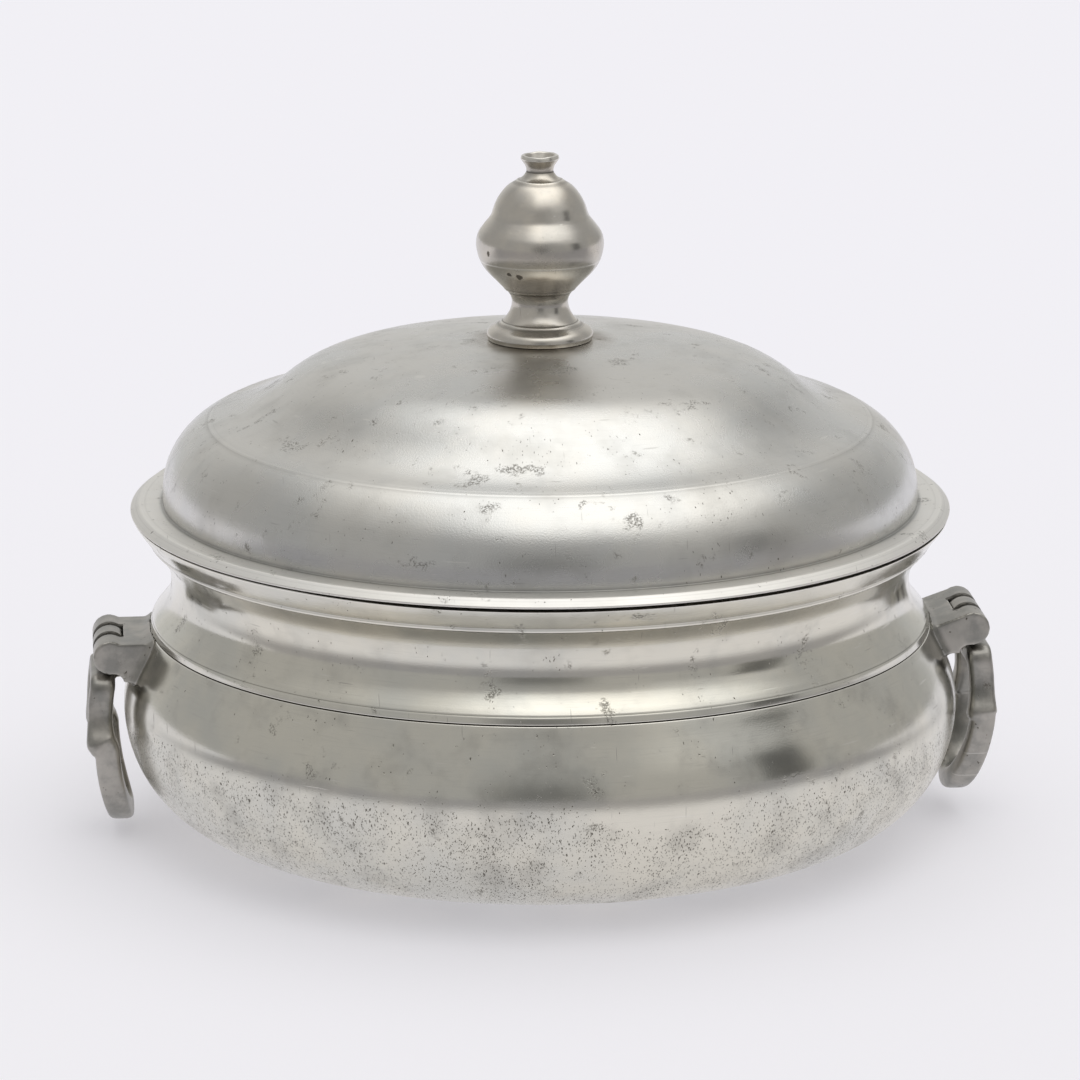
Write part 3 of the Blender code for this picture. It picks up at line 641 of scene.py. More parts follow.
def make_stem():
    outside = finial_line()
    outside = outside[outside[:, 1] < KNOB_SEAM[1] + SEAM_OVERLAP]
    spigot_outer = KNOB_SEAM[0] - FINIAL_WALL
    spigot_inner = spigot_outer - SPIGOT_WALL
    spigot_top = KNOB_SEAM[1] + SPIGOT_HEIGHT
    hollow_foot = STEM[1] + KNOB_FLOOR
    profile = line((0, hollow_foot), (STEM[0] - FINIAL_WALL, hollow_foot),
                   (spigot_inner, KNOB_SEAM[1] - FINIAL_WALL), (spigot_inner, spigot_top),
                   (spigot_outer, spigot_top), (spigot_outer, outside[0][1]), outside,
                   (FOOT[0] - FOOT_CHAMFER, FINIAL_BASE - FOOT_SAG), (0, FINIAL_BASE))
    return turned("stem", soften(profile, FINIAL_WEAR), FINIAL_STEPS, wobble=FINIAL_WOBBLE)


def make_bell():
    outside = finial_line()
    outside = outside[outside[:, 1] > KNOB_SEAM[1]]
    hollow_edge = KNOB_SEAM[0] - FINIAL_WALL + GAP
    hollow_top = BELL[1] - FINIAL_WALL
    cup_inner = CUP_LIP[0] - CUP_WALL
    cup_floor = CUP_HEIGHT - CUP_DEPTH
    profile = line((0, cup_floor), (CUP_FLOOR * cup_inner, cup_floor), (cup_inner, CUP_HEIGHT), outside,
                   (hollow_edge, KNOB_SEAM[1]), (hollow_edge, KNOB_SEAM[1] + SPIGOT_HEIGHT + GAP),
                   (BELL_WAIST[0] - FINIAL_WALL, BELL_WAIST[1]), (BELL[0] - 2 * FINIAL_WALL, hollow_top),
                   (0, hollow_top))
    bell = turned("bell", soften(profile, FINIAL_WEAR), FINIAL_STEPS, wobble=FINIAL_WOBBLE)
    dent_cup(bell)
    return bell


def dent_cup(bell):
    """Bends the thin lip of the cup out of round, as wear and knocks have left it."""
    for vertex in bell.data.vertices:
        lift = max(0.0, vertex.co.z - CUP_WAIST[1]) / (CUP_HEIGHT - CUP_WAIST[1])
        angle = math.atan2(vertex.co.y, vertex.co.x)
        dent = 1 + 0.6 * math.sin(3 * angle + 0.5) + 0.4 * math.sin(7 * angle)
        vertex.co.z -= CUP_DENT * lift ** 2 * dent
        vertex.co.xy *= 1 + CUP_SQUASH * lift * math.sin(2 * angle + 0.4)


# Hinges and handles, made for the right side about their own hinge axis, then placed

def hinge_place(side):
    """Where a piece made about its hinge axis goes: at the joint, and turned round on the left."""
    x, y, z = JOINTS[f"{side}_handle_swing"]["pos_m"]
    turn = 0.0 if side == "right" else math.pi
    return Matrix.Translation((x, y, z)) @ Matrix.Rotation(turn, 4, "Z")


def plate(name, outline, thickness):
    """A flat (x, z) outline with its thickness along Y."""
    mesh = bpy.data.meshes.new(name)
    work = bmesh.new()
    near = [work.verts.new((x, -thickness / 2, z)) for x, z in outline]
    face = work.faces.new(near)
    far = bmesh.ops.extrude_face_region(work, geom=[face])["geom"]
    far_points = [item for item in far if isinstance(item, bmesh.types.BMVert)]
    bmesh.ops.translate(work, verts=far_points, vec=(0, thickness, 0))
    bmesh.ops.recalc_face_normals(work, faces=work.faces)
    work.to_mesh(mesh)
    work.free()
    return add_mesh(name, mesh)


def rod(name, radius, length):
    """A cylinder along Y."""
    return plate(name, arc(radius, 0.0, 2 * math.pi, closed=True), length)


def baked(obj):
    """Applies an object's modifiers and returns it."""
    bpy.context.view_layer.update()
    mesh = bpy.data.meshes.new_from_object(obj.evaluated_get(bpy.context.evaluated_depsgraph_get()))
    obj.modifiers.clear()
    obj.data = mesh
    return obj


def combine(obj, others, operation):
    """Adds or cuts away other objects, and removes them."""
    for other in others:
        modifier = obj.modifiers.new("Combine", "BOOLEAN")
        modifier.operation = operation
        modifier.object = other
    baked(obj)
    for other in others:
        bpy.data.objects.remove(other, do_unlink=True)
    return obj


def cast(obj):
    """Melts the shapes in an object into one casting with soft edges."""
    remesh = obj.modifiers.new("Melt", "REMESH")
    remesh.mode = "VOXEL"
    remesh.voxel_size = CAST_VOXEL
    smooth = obj.modifiers.new("Wear", "SMOOTH")
    smooth.factor = 0.5
    smooth.iterations = CAST_SMOOTHING
    return baked(obj)


def vertex_arrays(mesh):
    """The places and the normals of a mesh's points, a row each."""
    arrays = []
    for name in ("co", "normal"):
        values = np.empty(len(mesh.vertices) * 3)
        mesh.vertices.foreach_get(name, values)
        arrays.append(values.reshape(-1, 3))
    return arrays


def mark_edges(obj):
    """Stores how far each point stands out from its neighbours, for worn edges and dirty hollows."""
    mesh = obj.data
    places, normals = vertex_arrays(mesh)
    count = len(places)
    ends = np.empty(len(mesh.edges) * 2, dtype=int)
    mesh.edges.foreach_get("vertices", ends)
    start, end = ends.reshape(-1, 2).T
    run = places[start] - places[end]
    length = np.maximum(np.einsum("ij,ij->i", run, run), 1e-12)
    bend = np.bincount(start, np.einsum("ij,ij->i", normals[start], run) / length, count)
    bend -= np.bincount(end, np.einsum("ij,ij->i", normals[end], run) / length, count)
    neighbours = np.maximum(np.bincount(ends, minlength=count), 1)
    bend = np.clip(bend / neighbours * TIGHT_RADIUS, -1.0, 1.0)
    for _ in range(EDGE_PASSES):
        total = np.bincount(start, bend[end], count) + np.bincount(end, bend[start], count)
        bend = 0.5 * bend + 0.5 * total / neighbours
    layer = mesh.attributes.new("edge", "FLOAT", "POINT")
    layer.data.foreach_set("value", bend)


def bowl_outside():
    """The bowl's outer line below its neck, worn smooth."""
    points = np.vstack([shoulder_outside(), basin_outside()])
    return soften(line(points[points[:, 1] < NECK_HEIGHT]), SOLDER_WEAR)


def bowl_radius(height):
    """The bowl's outer radius at these heights."""
    points = bowl_outside()[::-1]
    return np.interp(height, points[:, 1], points[:, 0])


def bracket_outline(side):
    """Side view of a bracket: a round knuckle at the origin, and an arm that runs into the bowl."""
    belly = BELLY_RADIUS - JOINTS["right_handle_swing"]["pos_m"][0]
    root = belly - BRACKET_ROOT
    nose = arc(KNUCKLE_RADIUS, math.pi - math.asin(BRACKET_TOP / KNUCKLE_RADIUS), -math.pi / 2)
    foot = (belly, -KNUCKLE_RADIUS - BRACKET_FILLET)
    web = curve(nose[-1], INWARD, foot, DOWN)[1:]
    return np.vstack([[(root, BRACKET_TOP - ARM_DROP[side])], nose, web, [(root, foot[1])]])


def slot_outline(past):
    """Side view of the room for the handle's barrel and tongue, as far as past."""
    room = KNUCKLE_RADIUS + SLOT_PLAY
    half_turn = math.acos(SLOT_BACK / room)
    back = arc(room, math.pi + half_turn, math.pi - half_turn)
    return np.vstack([[(past, -past), (-SLOT_BACK, -past)], back, [(-SLOT_BACK, past), (past, past)]])


def solder(bracket, place):
    """Spreads the bracket's root where it meets the bowl, in a soft fillet of solder."""
    places, normals = vertex_arrays(bracket.data)
    aside = normals * (0.0, 1.0, 1.0)
    turn = np.array(place)
    spots = places @ turn[:3, :3].T + turn[:3, 3]
    depth = np.hypot(spots[:, 0], spots[:, 1]) - bowl_radius(spots[:, 2])
    near = np.clip(1.0 - np.maximum(depth, 0.0) / SOLDER_REACH, 0.0, 1.0)
    places += aside * (SOLDER_SPREAD * near ** 2)[:, None]
    bracket.data.vertices.foreach_set("co", places.ravel())


def make_bracket(side):
    place = hinge_place(side)
    bracket = plate(f"{side}_bracket", bracket_outline(side), HINGE_WIDTH)
    slot_half = MIDDLE_KNUCKLE / 2 + KNUCKLE_PLAY
    past = 2 * KNUCKLE_RADIUS + BRACKET_FILLET
    slot = plate("slot", slot_outline(past), 2 * slot_half)
    bowl_line = offset(bowl_outside(), BRACKET_SINK)
    bowl_line = line((0, bowl_line[0][1]), bowl_line, (0, bowl_line[-1][1]))
    bowl = turned("bowl_space", bowl_line, BOWL_STEPS)
    bowl.matrix_world = place.inverted()
    combine(bracket, [slot, bowl], "DIFFERENCE")
    cast(bracket)
    solder(bracket, place)
    return finish_casting(bracket, place, slot_half)


def shade_slits(obj, across):
    """Paints shade on the faces of the knuckles' slits, at this distance across from the middle, by
    marking them as the darkest hollow, which takes the dirt colour.
    """
    for vertex, mark in zip(obj.data.vertices, obj.data.attributes["edge"].data):
        x, y, z = vertex.co
        if math.hypot(x, z) < KNUCKLE_RADIUS + SLIT_SHADE_REACH and abs(abs(y) - across) < SLIT_SHADE_REACH:
            mark.value = -1.0


def finish_casting(obj, place, slit):
    """Bores a casting for its pin, up to the closed ends, and puts it in its place."""
    mark_edges(obj)
    # Painted shade in the slits between the knuckles
    shade_slits(obj, slit)
    combine(obj, [rod("bore", PIN_RADIUS + PIN_PLAY, HINGE_WIDTH - 2 * KNUCKLE_CAP)], "DIFFERENCE")
    obj.data.transform(place)
    obj.data.shade_smooth()
    obj.data.set_sharp_from_angle(angle=CAST_SHARP)
    return obj


def bow(height, side):
    """How far the strap's middle line stands out from the hinge axis, at a height from it."""
    crest = HANDLE_THICKNESS / 2 - HANDLE_INSET
    below = np.clip(-(height + CUSP_DROP) / GRIP_DROP, 0.0, 1.0)
    start, end = GRIP_SHIFT[side]
    shift = np.clip(below * GRIP_DROP / CUSP_STEP, 0.0, 1.0) * (start + (end - start) * below)
    return crest - (height + HANDLE_BOW_DROP) ** 2 / (2 * HANDLE_BOW_RADIUS) + shift


def strap_line():
    """The handle's closed loop, seen from outside, as (across, height) points."""
    half_strap = STRAP_WIDTH / 2
    corner = (HINGE_WIDTH / 2 - half_strap, -STRAP_TOP_DROP)
    cusp = (HINGE_WIDTH / 2 + CUSP_FLARE - half_strap, -CUSP_DROP)
    bottom = (0.0, half_strap - CUSP_DROP - GRIP_DROP)
    half = line((0.0, -STRAP_TOP_DROP), curve(corner, DOWN, cusp, leaning(CUSP_LEAN)),
                curve(cusp, DOWN, bottom, INWARD))
    half = soften(half, STRAP_WEAR)[::STRAP_THINNING]
    return np.vstack([half, half[-2:0:-1] * (-1, 1)])


def strap_swell(height):
    """The strap thickens towards each cusp and steps back in below it."""
    above = np.clip(1 - (height + CUSP_DROP) / CUSP_RISE, 0.0, 1.0) ** 2
    below = np.clip(1 + (height + CUSP_DROP) / CUSP_STEP, 0.0, 1.0)
    return 1 + CUSP_SWELL * np.where(height > -CUSP_DROP, above, below)


def strap_section():
    """The strap's section, a rectangle with rounded corners: its width across, its thickness outwards."""
    angle = np.linspace(0.0, 2 * math.pi, SECTION_POINTS, endpoint=False)
    across, out = np.cos(angle), np.sin(angle)
    fullness = (np.abs(across) ** SECTION_POWER + np.abs(out) ** SECTION_POWER) ** (-1 / SECTION_POWER)
    return fullness * across * STRAP_WIDTH / 2, fullness * out * HANDLE_THICKNESS / 2


def make_loop(side):
    """The strap's section, swept round the handle's loop."""
    name = f"{side}_stirrup"
    across, height = strap_line().T
    middle = np.column_stack([bow(height, side), across, height])
    travel = np.roll(middle, -1, axis=0) - np.roll(middle, 1, axis=0)
    travel /= np.linalg.norm(travel, axis=1)[:, None]
    aside = np.cross(travel, (1.0, 0.0, 0.0))
    aside /= np.linalg.norm(aside, axis=1)[:, None]
    out = np.cross(aside, travel)
    wide, thick = strap_section()
    spread = aside[:, None] * wide[None, :, None] + out[:, None] * thick[None, :, None]
    rings = middle[:, None] + strap_swell(height)[:, None, None] * spread
    mesh = bpy.data.meshes.new(name)
    mesh.from_pydata(rings.reshape(-1, 3), [], grid_faces(len(middle), SECTION_POINTS, True))
    weld(mesh)
    return add_mesh(name, mesh)


def make_handle(side):
    handle = make_loop(side)
    tongue_side = KNUCKLE_RADIUS - TONGUE_INSET
    half_tongue = MIDDLE_KNUCKLE / 2 - BARREL_TRIM
    tongue_outline = [(-tongue_side, -STRAP_TOP_DROP), (tongue_side, -STRAP_TOP_DROP),
                      (tongue_side, 0.0), (-tongue_side, 0.0)]
    tongue = plate("tongue", tongue_outline, 2 * half_tongue)
    knuckle = rod("knuckle", KNUCKLE_RADIUS, MIDDLE_KNUCKLE - 2 * BARREL_TRIM)
    combine(handle, [tongue, knuckle], "UNION")
    cast(handle)
    return finish_casting(handle, hinge_place(side), half_tongue)


def make_pin(side):
    """A pin that is thin in the handle's knuckle and spread to fill the bracket's two."""
    end = HINGE_WIDTH / 2 - KNUCKLE_CAP
    tight = PIN_RADIUS + PIN_PLAY + PIN_GRIP
    neck = MIDDLE_KNUCKLE / 2 + KNUCKLE_PLAY
    half = [(0, end), (tight, end), (tight, neck + PIN_STEP), (PIN_RADIUS, neck)]
    profile = line(*half, *[(radius, -height) for radius, height in reversed(half)])
    pin = turned(f"{side}_pin", profile, PIN_STEPS)
    pin.data.transform(hinge_place(side) @ Matrix.Rotation(math.pi / 2, 4, "X"))
    return pin


# Materials

class Nodes:
    """Short ways to add nodes to a node tree and link them."""

    def __init__(self, tree):
        self.tree = tree
        tree.nodes.clear()

    def add(self, kind, inputs, **settings):
        node = self.tree.nodes.new(f"ShaderNode{kind}")
        for name, value in settings.items():
            setattr(node, name, value)
        for key, value in inputs.items():
            if isinstance(value, bpy.types.NodeSocket):
                self.tree.links.new(value, node.inputs[key])
            else:
                node.inputs[key].default_value = value
        return node

    def vector(self, x, y, z):
        return self.add("CombineXYZ", {"X": x, "Y": y, "Z": z}).outputs["Vector"]

    def vector_math(self, operation, first, second):
        return self.add("VectorMath", {0: first, 1: second}, operation=operation).outputs["Vector"]

    def math(self, operation, first, second=0.0, third=0.0):
        return self.add("Math", {0: first, 1: second, 2: third}, operation=operation).outputs[0]

    def product(self, first, *others):
        for other in others:
            first = self.math("MULTIPLY", first, other)
        return first

    def total(self, first, *others):
        for other in others:
            first = self.math("ADD", first, other)
        return first

    def length(self, x, y):
        return self.math("SQRT", self.math("MULTIPLY_ADD", x, x, self.math("MULTIPLY", y, y)))

    def ramp(self, value, low, high, start=0.0, end=1.0):
        """A smooth change from start to end as value goes from low to high."""
        inputs = {"Value": value, "From Min": low, "From Max": high, "To Min": start, "To Max": end}
        return self.add("MapRange", inputs, interpolation_type="SMOOTHSTEP").outputs["Result"]

    def noise(self, vector, scale, detail=2.0, roughness=0.5):
        inputs = {"Vector": vector, "Scale": scale, "Detail": detail, "Roughness": roughness}
        return self.add("TexNoise", inputs).outputs["Fac"]

    def mix(self, factor, first, second):
        node = self.add("Mix", {0: factor, 6: first, 7: second}, data_type="RGBA")
        return node.outputs[2]

    def stretch(self, vector, scale, turn=(0.0, 0.0, 0.0)):
        return self.add("Mapping", {"Vector": vector, "Scale": scale, "Rotation": turn}).outputs["Vector"]

    def spots(self, vector, scale, share, size):
        """Dots of uneven size: share is how many cells hold one, size how much of its cell it fills."""
        cell = self.add("TexVoronoi", {"Vector": vector, "Scale": scale})
        chance = self.add("SeparateColor", {"Color": cell.outputs["Color"]})
        chosen = self.math("LESS_THAN", chance.outputs[0], share)
        edge = self.math("MULTIPLY_ADD", chance.outputs[1], size, SMALLEST_SPOT * size)
        near = self.math("DIVIDE", cell.outputs["Distance"], edge)
        return self.product(self.ramp(near, 1.0, SPOT_CORE), chosen)


def metal_coordinates(nodes):
    """Where a point of the metal is, and its place along the lathe's turns and on the unrolled side."""
    place = nodes.add("TexCoord", {}).outputs["Object"]
    x, y, height = nodes.add("SeparateXYZ", {"Vector": place}).outputs
    radius = nodes.length(x, y)
    angle = nodes.math("ARCTAN2", y, x)
    lathe = nodes.vector(radius, nodes.product(angle, LATHE_PULL), height)
    unrolled = nodes.vector(nodes.product(angle, UNROLLED_RADIUS), height, radius)
    return place, height, radius, lathe, unrolled


def shaken(nodes, place, amount):
    """Coordinates pushed about a little, so that dots and lines come out ragged."""
    shake = nodes.add("TexNoise", {"Vector": place, "Scale": SHAKE_SCALE, "Detail": 1.0}).outputs["Color"]
    centred = nodes.vector_math("SUBTRACT", shake, (0.5, 0.5, 0.5))
    return nodes.vector_math("ADD", place, nodes.vector_math("MULTIPLY", centred, (amount,) * 3))


def scratches(nodes, place):
    """Short fine strokes in two directions."""
    first, second = (nodes.spots(nodes.stretch(place, *pull), *spots) for pull, spots in STROKES)
    return nodes.math("MAXIMUM", first, second)


def surface_marks(nodes, finish):
    """The patterns that colour, roughness and relief share, by name."""
    place, height, radius, lathe, unrolled = metal_coordinates(nodes)
    edge = nodes.add("Attribute", {}, attribute_name="edge").outputs["Fac"]
    marks = SimpleNamespace(place=place, height=height, radius=radius, unrolled=unrolled)
    marks.cloud = nodes.noise(place, finish.cloud_scale, *CLOUD_NOISE)
    marks.patch = nodes.noise(place, *PATCH_NOISE)
    marks.grain = nodes.noise(place, *GRAIN_NOISE)
    marks.turning = nodes.noise(lathe, *TURNING_NOISE)
    marks.hairs = nodes.spots(nodes.stretch(unrolled, *HAIR_PULL), *HAIR_SPOTS)
    marks.strokes = scratches(nodes, place)
    marks.hollow = nodes.ramp(edge, *HOLLOW_EDGE)
    marks.worn = nodes.ramp(edge, *WORN_EDGE)
    if finish.brim:
        marks.brim = nodes.ramp(radius, finish.brim, finish.brim + BRIM_FADE)
    if finish.pit_zone:
        marks.zone = pitted_zone(nodes, finish, marks)
    marks.pits = nodes.math("MAXIMUM", scattered_pits(nodes, finish, marks), rashes(nodes, finish, marks))
    return marks


def pitted_zone(nodes, finish, marks):
    """How far a point lies in the finish's zone of dense pits, whose border wanders."""
    full, none, _ = finish.pit_zone
    wander = nodes.math("SUBTRACT", marks.cloud, 0.5)
    return nodes.ramp(nodes.math("MULTIPLY_ADD", wander, ZONE_WANDER, marks.height), none, full)


def scattered_pits(nodes, finish, marks):
    """Fine and coarse pits, denser in patches and in the finish's zone of dense pits."""
    ragged = nodes.stretch(shaken(nodes, marks.unrolled, PIT_SHAKE), *PIT_PULL)
    share = nodes.ramp(marks.patch, *PIT_EDGE, 0.0, finish.pit_share)
    if finish.pit_zone:
        crowding = nodes.ramp(marks.patch, *ZONE_CROWDING)
        share = nodes.total(share, nodes.product(marks.zone, crowding, finish.pit_zone[2]))
    fine, coarse = (nodes.spots(ragged, scale, nodes.product(share, part), size)
                    for scale, part, size in (FINE_PITS, COARSE_PITS))
    return nodes.math("MAXIMUM", fine, coarse)


def rashes(nodes, finish, marks):
    """Clusters of dark crumbs, and the finish's own black blots."""
    cluster = nodes.ramp(nodes.noise(marks.place, *RASH_NOISE), finish.blotch, finish.blotch + RASH_FADE)
    crumbs = nodes.ramp(nodes.noise(marks.place, *CRUMB_NOISE), *CRUMB_EDGE)
    rash = nodes.product(cluster, crumbs, RASH_DARKNESS)
    for centre, reach in finish.blots:
        ragged = shaken(nodes, marks.place, BLOT_SHAKE)
        away = nodes.add("VectorMath", {0: ragged, 1: centre}, operation="DISTANCE").outputs["Value"]
        rash = nodes.math("MAXIMUM", rash, nodes.ramp(away, reach, BLOT_CORE * reach))
    return rash


def smudge(nodes, finish, marks):
    """A patchy ring of dirt round the axis."""
    full, none = finish.smudge
    return nodes.product(nodes.ramp(marks.radius, none, full), nodes.ramp(marks.patch, *SMUDGE_PATCHES))


def metal_colour(nodes, finish, marks):
    """Two tones under layers of film, turning lines, shine with the brim's painted sheen, dirt with the
    slits' painted shade, scratches and pits.
    """
    colour = nodes.mix(nodes.ramp(marks.cloud, *TONE_EDGE), finish.cool, finish.warm)
    shine = nodes.total(nodes.product(marks.worn, WORN_SHINE), nodes.product(marks.hairs, HAIR_SHINE))
    layers = [(nodes.product(nodes.ramp(marks.patch, *FILM_EDGE), finish.film), FILM_COLOUR),
              (nodes.ramp(marks.turning, *LINE_EDGE), LINE_COLOUR),
              (shine, WORN_COLOUR)]
    # Painted sheen on the lid's brim
    if finish.brim:
        layers.append((nodes.product(marks.brim, BRIM_PAINTED_SHEEN), BRIM_SHEEN_COLOUR))
    if finish.smudge:
        layers.append((smudge(nodes, finish, marks), SMUDGE_COLOUR))
    # Dirt in hollows, which on the castings also paints shade on the faces of the knuckles' slits
    layers += [(nodes.product(marks.hollow, finish.dirt), DIRT_AND_SHADE_COLOUR),
               (nodes.product(marks.strokes, STROKE_DARKNESS), STROKE_COLOUR),
               (nodes.product(marks.pits, PIT_DARKNESS), PIT_COLOUR)]
    for strength, tint in layers:
        colour = nodes.mix(strength, colour, tint)
    return colour


def weighted(nodes, marks, weights):
    """The sum of those named patterns that the metal has, each times its weight."""
    return nodes.total(*(nodes.product(getattr(marks, name), weight)
                         for name, weight in weights.items() if hasattr(marks, name)))


def metal_roughness(nodes, finish, marks):
    """Uneven in clouds and patches, and rougher where the metal is pitted, dirty or on the brim."""
    least, most = finish.roughness - CLOUD_DULLNESS, finish.roughness + CLOUD_DULLNESS
    clouds = nodes.ramp(marks.cloud, *CLOUD_EDGE, least, most)
    patches = nodes.ramp(marks.patch, *PATCH_DULLNESS)
    return nodes.total(clouds, patches, weighted(nodes, marks, DULLNESS))


def metal_relief(nodes, finish, marks):
    """The normals of the metal's fine relief."""
    depths = {"grain": finish.grain_depth, "turning": finish.lathe_depth}
    rise = weighted(nodes, marks, {**depths, **RELIEF})
    return nodes.add("Bump", {"Height": rise, "Distance": MILLIMETRE, "Strength": 1.0}).outputs["Normal"]


def pewter(name, **changes):
    """Worn pewter with the plain finish, apart from these changes."""
    finish = SimpleNamespace(**{**PLAIN_FINISH, **changes})
    material = bpy.data.materials.new(name)
    material.use_nodes = True
    nodes = Nodes(material.node_tree)
    marks = surface_marks(nodes, finish)
    shader = nodes.add("BsdfPrincipled", {"Base Color": metal_colour(nodes, finish, marks),
                                          "Roughness": metal_roughness(nodes, finish, marks),
                                          "Metallic": 1.0,
                                          "Normal": metal_relief(nodes, finish, marks)})
    nodes.add("OutputMaterial", {"Surface": shader.outputs["BSDF"]})
    return material


def make_materials():
    blots = [((x, y, FINIAL_BASE + height), reach) for (x, y, height), reach in FINIAL_BLOTS]
    return {
        "basin": pewter("basin_pewter", **BOWL_TONES, roughness=0.17, pit_zone=(0.035, 0.043, 0.62),
                        pit_share=0.06, film=0.42),
        "shoulder": pewter("shoulder_pewter", **BOWL_TONES, roughness=0.16, pit_share=0.05),
        "lid": pewter("lid_pewter", warm=(0.64, 0.625, 0.585, 1.0), cool=(0.60, 0.60, 0.58, 1.0),
                      roughness=0.28, grain_depth=0.034, pit_share=0.05, blotch=0.60, dirt=0.35,
                      brim=DOME_RADIUS + 0.0006, smudge=(0.0168, 0.0250)),
        "finial": pewter("finial_pewter", warm=(0.64, 0.595, 0.52, 1.0), cool=(0.55, 0.525, 0.48, 1.0),
                         roughness=0.24, pit_share=0.03, blotch=0.68, cloud_scale=60.0, blots=blots),
        "handle": pewter("handle_pewter", warm=(0.42, 0.40, 0.365, 1.0), cool=(0.27, 0.265, 0.245, 1.0),
                         roughness=0.36, lathe_depth=0.0, grain_depth=0.012, pit_share=0.08, film=0.6,
                         cloud_scale=130.0),
    }


# Pieces

def dress(obj, material, body, slot, *nodes):
    obj.data.materials.clear()
    obj.data.materials.append(material)
    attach(obj, body)
    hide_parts(*nodes)


def make_pieces():
    materials = make_materials()
    dress(make_basin(), materials["basin"], "bowl", "bowl_pewter", "bowl_basin")
    dress(make_shoulder(), materials["shoulder"], "bowl", "bowl_pewter", "bowl_shoulder")
    dress(make_dome(), materials["lid"], "lid", "lid_pewter", "lid_dome")
    dress(make_bezel(), materials["lid"], "lid", "lid_pewter", "lid_bezel")
    dress(make_stem(), materials["finial"], "lid", "finial_pewter", "finial_stem")
    dress(make_bell(), materials["finial"], "lid", "finial_pewter", "finial_bell")
    for side in ("left", "right"):
        dress(make_bracket(side), materials["handle"], "bowl", "handle_pewter", f"{side}_hinge_bracket")
        dress(make_pin(side), materials["handle"], "bowl", "handle_pewter", f"{side}_hinge_pin")
        dress(make_handle(side), materials["handle"], f"{side}_handle", "handle_pewter", f"{side}_handle")


# Studio

def floor_paper():
    """Pale paper that partly glows, a painted light that lifts the shadow under the bowl, and glows more
    where the metal reflects it. Where the metal reflects it, its far front is painted dark, a painted dim
    reflection.
    """
    material = bpy.data.materials.new("floor_paper")
    material.use_nodes = True
    nodes = Nodes(material.node_tree)
    place = nodes.add("TexCoord", {}).outputs["Object"]
    x, y, _ = nodes.add("SeparateXYZ", {"Vector": place}).outputs
    reflected = nodes.add("LightPath", {}).outputs["Is Glossy Ray"]
    pale = nodes.mix(nodes.ramp(y, *FLOOR_FADE), FLOOR_NEAR_COLOUR, FLOOR_FAR_COLOUR)
    # Painted dark reflection of the far front, seen only in the metal
    away = nodes.ramp(nodes.length(x, y), *FLOOR_DIM_RADII)
    dim = nodes.product(away, nodes.ramp(y, *FLOOR_DIM_FRONT), reflected)
    seen = nodes.mix(dim, pale, FLOOR_DIM_COLOUR)
    lit = nodes.add("BsdfDiffuse", {"Color": seen})
    # Painted light: the paper glows, lifting the bowl's shadow
    paper_glow = nodes.add("Emission", {"Color": seen, "Strength": 1.0})
    fill = nodes.math("MULTIPLY_ADD", reflected, REFLECTED_FILL, FLOOR_FILL)
    shader = nodes.add("MixShader", {"Fac": fill, 1: lit.outputs["BSDF"], 2: paper_glow.outputs["Emission"]})
    nodes.add("OutputMaterial", {"Surface": shader.outputs["Shader"]})
    return material


def make_floor():
    mesh = bpy.data.meshes.new("floor")
    corners = [(x * FLOOR_REACH, y * FLOOR_REACH, 0) for x, y in ((-1, -1), (1, -1), (1, 1), (-1, 1))]
    mesh.from_pydata(corners, [], [(0, 1, 2, 3)])
    mesh.materials.append(floor_paper())
    floor = add_mesh("floor", mesh)


def beside(nodes, x, y, bearing, near, far):
    """How nearly a direction has this bearing, counted from the viewer towards the right handle."""
    along = nodes.total(nodes.product(x, math.sin(bearing)), nodes.product(y, -math.cos(bearing)))
    return nodes.ramp(nodes.math("DIVIDE", along, nodes.length(x, y)), math.cos(far), math.cos(near))


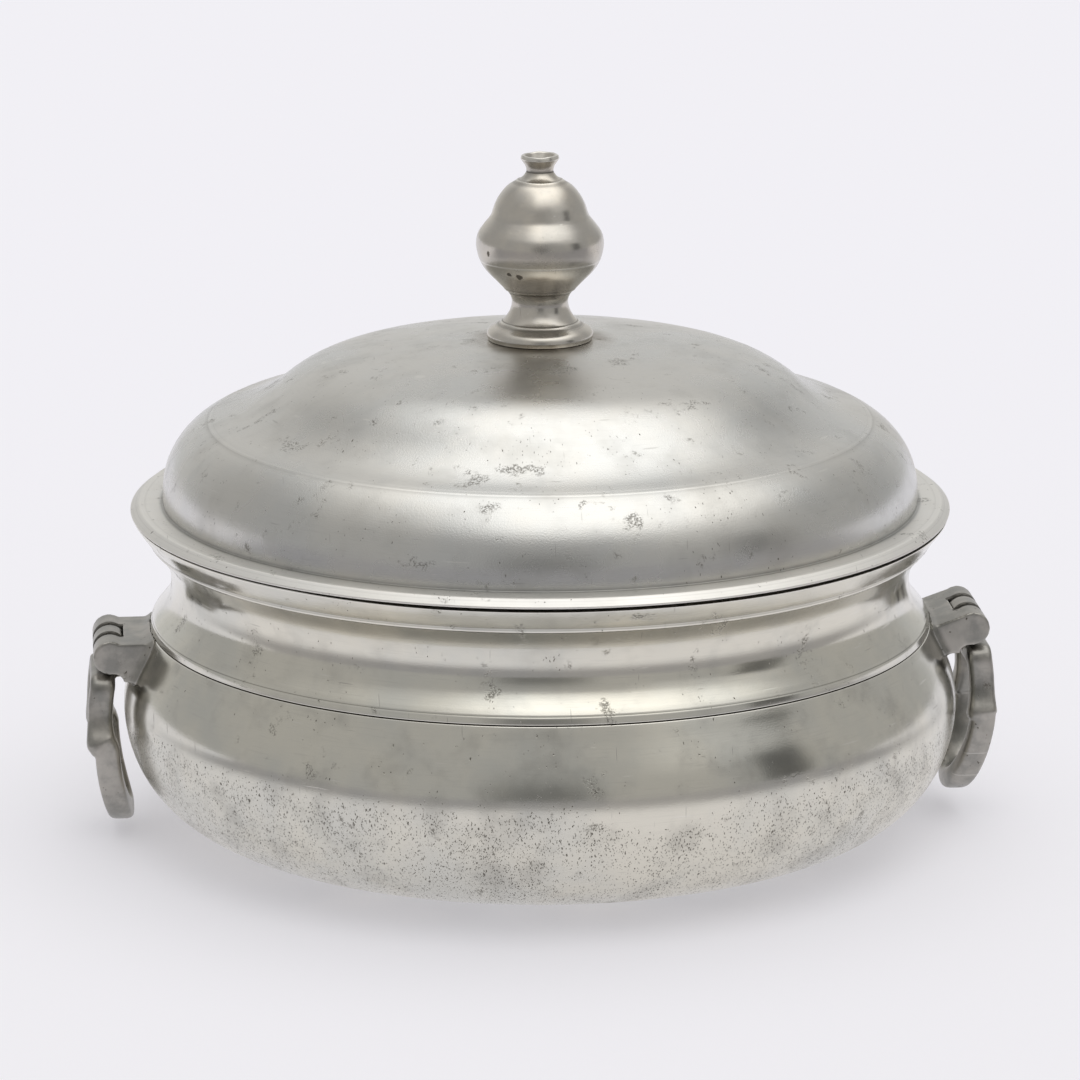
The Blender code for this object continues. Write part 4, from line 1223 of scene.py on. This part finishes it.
def room_light(nodes):
    """A panel overhead, a pale wall behind, a glow on the right and a dimmer room with dark things."""
    direction = nodes.add("TexCoord", {}).outputs["Generated"]
    x, y, z = nodes.add("SeparateXYZ", {"Vector": direction}).outputs
    panel = nodes.product(nodes.ramp(z, *PANEL_RISE, 0.0, PANEL_LIGHT), nodes.ramp(x, *PANEL_LEFT))
    wall = nodes.ramp(y, *WALL_RISE, 0.0, WALL_LIGHT)
    glow = nodes.product(beside(nodes, x, y, GLOW_BEARING, *GLOW_SPREAD), nodes.ramp(z, *GLOW_FOOT),
                         nodes.ramp(z, *GLOW_TOP), GLOW_LIGHT)
    light = nodes.total(panel, wall, glow, ROOM_LIGHT)
    for bearing, spread, top, darkness in DARK_THINGS:
        thing = nodes.product(beside(nodes, x, y, bearing, *spread), nodes.ramp(z, *top))
        light = nodes.product(light, nodes.math("MULTIPLY_ADD", thing, -darkness, 1.0))
    return light


def make_world():
    """A soft studio for the metal to reflect, and a plain pale backdrop for the camera."""
    world = bpy.data.worlds.new("studio")
    bpy.context.scene.world = world
    world.use_nodes = True
    nodes = Nodes(world.node_tree)
    watched = nodes.add("LightPath", {}).outputs["Is Camera Ray"]
    room = nodes.add("Background", {"Color": ROOM_COLOUR, "Strength": room_light(nodes)})
    backdrop = nodes.add("Background", {"Color": BACKDROP_COLOUR, "Strength": 1.0})
    shader = nodes.add("MixShader", {"Fac": watched, 1: room.outputs[0], 2: backdrop.outputs[0]})
    nodes.add("OutputWorld", {"Surface": shader.outputs["Shader"]})


def make_camera():
    data = bpy.data.cameras.new("camera")
    data.lens = CAMERA_LENS
    data.sensor_width = CAMERA_SENSOR
    camera = bpy.data.objects.new("camera", data)
    bpy.context.scene.collection.objects.link(camera)
    back = (-CAMERA_DISTANCE * math.sin(CAMERA_TURN), -CAMERA_DISTANCE * math.cos(CAMERA_TURN))
    camera.location = (*back, CAMERA_HEIGHT)
    camera.rotation_euler = (math.pi / 2 - CAMERA_PITCH, 0.0, -CAMERA_TURN)
    bpy.context.scene.camera = camera


make_camera()
make_floor()
make_world()
make_pieces()
bpy.context.scene.view_settings.view_transform = "Standard"
